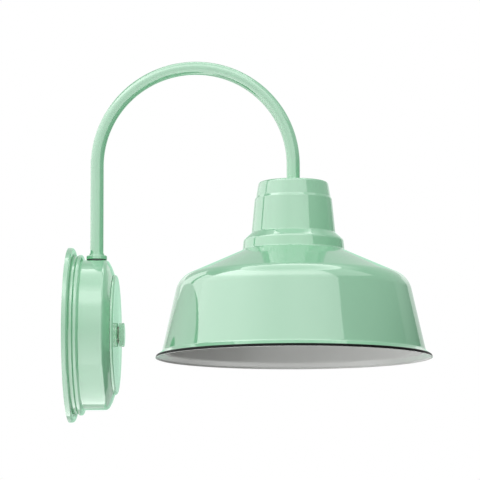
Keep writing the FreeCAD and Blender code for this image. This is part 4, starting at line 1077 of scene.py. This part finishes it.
def pale_floor():
    """A plain floor that is clear from underneath, so the inside can be looked at."""
    far = FLOOR_REACH
    corners = [(-far, -far, FLOOR), (far, -far, FLOOR), (far, far, FLOOR), (-far, far, FLOOR)]
    paint = moulding("pale_floor", (214, 214, 213), 0.8, height=0.0)
    return sheet("pale_floor", corners, [(0, 1, 2, 3)], clear_behind(paint))


def lamp(name, place, aim, size, power, spread):
    """A soft lamp for the plain light; it doesn't show in reflections."""
    light = bpy.data.lights.new(name, "AREA")
    light.shape = "SQUARE"
    light.size = size
    light.energy = power
    light.spread = math.radians(spread)
    thing = bpy.data.objects.new(name, light)
    thing.location = place
    thing.rotation_euler = (Vector(aim) - Vector(place)).to_track_quat("-Z", "Y").to_euler()
    hide_from(thing, "camera", "glossy")
    bpy.context.scene.collection.objects.link(thing)


def room():
    """Plain light all round, which shows as white to the camera and in reflections."""
    world = bpy.data.worlds.new("white_room")
    bpy.context.scene.world = world
    world.use_nodes = True
    tree = world.node_tree
    path = add(tree, "ShaderNodeLightPath").outputs
    seen = path["Is Camera Ray"]
    for other in ("Is Glossy Ray", "Is Transmission Ray"):
        seen = maths(tree, "MAXIMUM", seen, path[other])
    level = add(tree, "ShaderNodeMapRange", in_Value=seen)
    level.inputs["To Min"].default_value = PLAIN_LIGHT
    level.inputs["To Max"].default_value = 1.0
    background = tree.nodes["Background"]
    background.inputs["Color"].default_value = (1, 1, 1, 1)
    tree.links.new(level.outputs[0], background.inputs["Strength"])


CAMERA_TURN = 2.195
CAMERA_RISE = 7.094
CAMERA_ROLL = -0.107
CAMERA_DISTANCE = 3.868
CAMERA_AIM = (0.220, 0.0, 0.122)
CAMERA_LENS = 225.0
CAMERA_SENSOR = 36.0


def camera():
    """The photograph's camera, a little below the sconce and looking up."""
    turn, rise = math.radians(CAMERA_TURN), math.radians(CAMERA_RISE)
    forward = Vector(
        (-math.sin(turn) * math.cos(rise), math.cos(turn) * math.cos(rise), math.sin(rise))
    )
    data = bpy.data.cameras.new("photo_camera")
    data.lens = CAMERA_LENS
    data.sensor_width = CAMERA_SENSOR
    data.clip_end = 50.0
    eye = bpy.data.objects.new("photo_camera", data)
    eye.location = Vector(CAMERA_AIM) - forward * CAMERA_DISTANCE
    roll = Quaternion((0, 0, 1), math.radians(CAMERA_ROLL))
    eye.rotation_euler = (forward.to_track_quat("-Z", "Y") @ roll).to_euler()
    bpy.context.scene.collection.objects.link(eye)
    bpy.context.scene.camera = eye


room()
camera()
lamp("mouth_lamp", (0.14, -0.06, -0.5), (0.43, 0.0, 0.0), size=0.3, power=0.5, spread=80)
lamp("top_lamp", (0.15, -0.5, 2.2), (0.25, 0.0, 0.1), size=1.6, power=8.0, spread=150)
pale_floor()
# Painted reflection: a glowing disc on the cover that only the shade's reflections show.
painted_canopy_reflection()
right_flag()
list(studio_cards())
bpy.context.scene.view_settings.view_transform = "Standard"
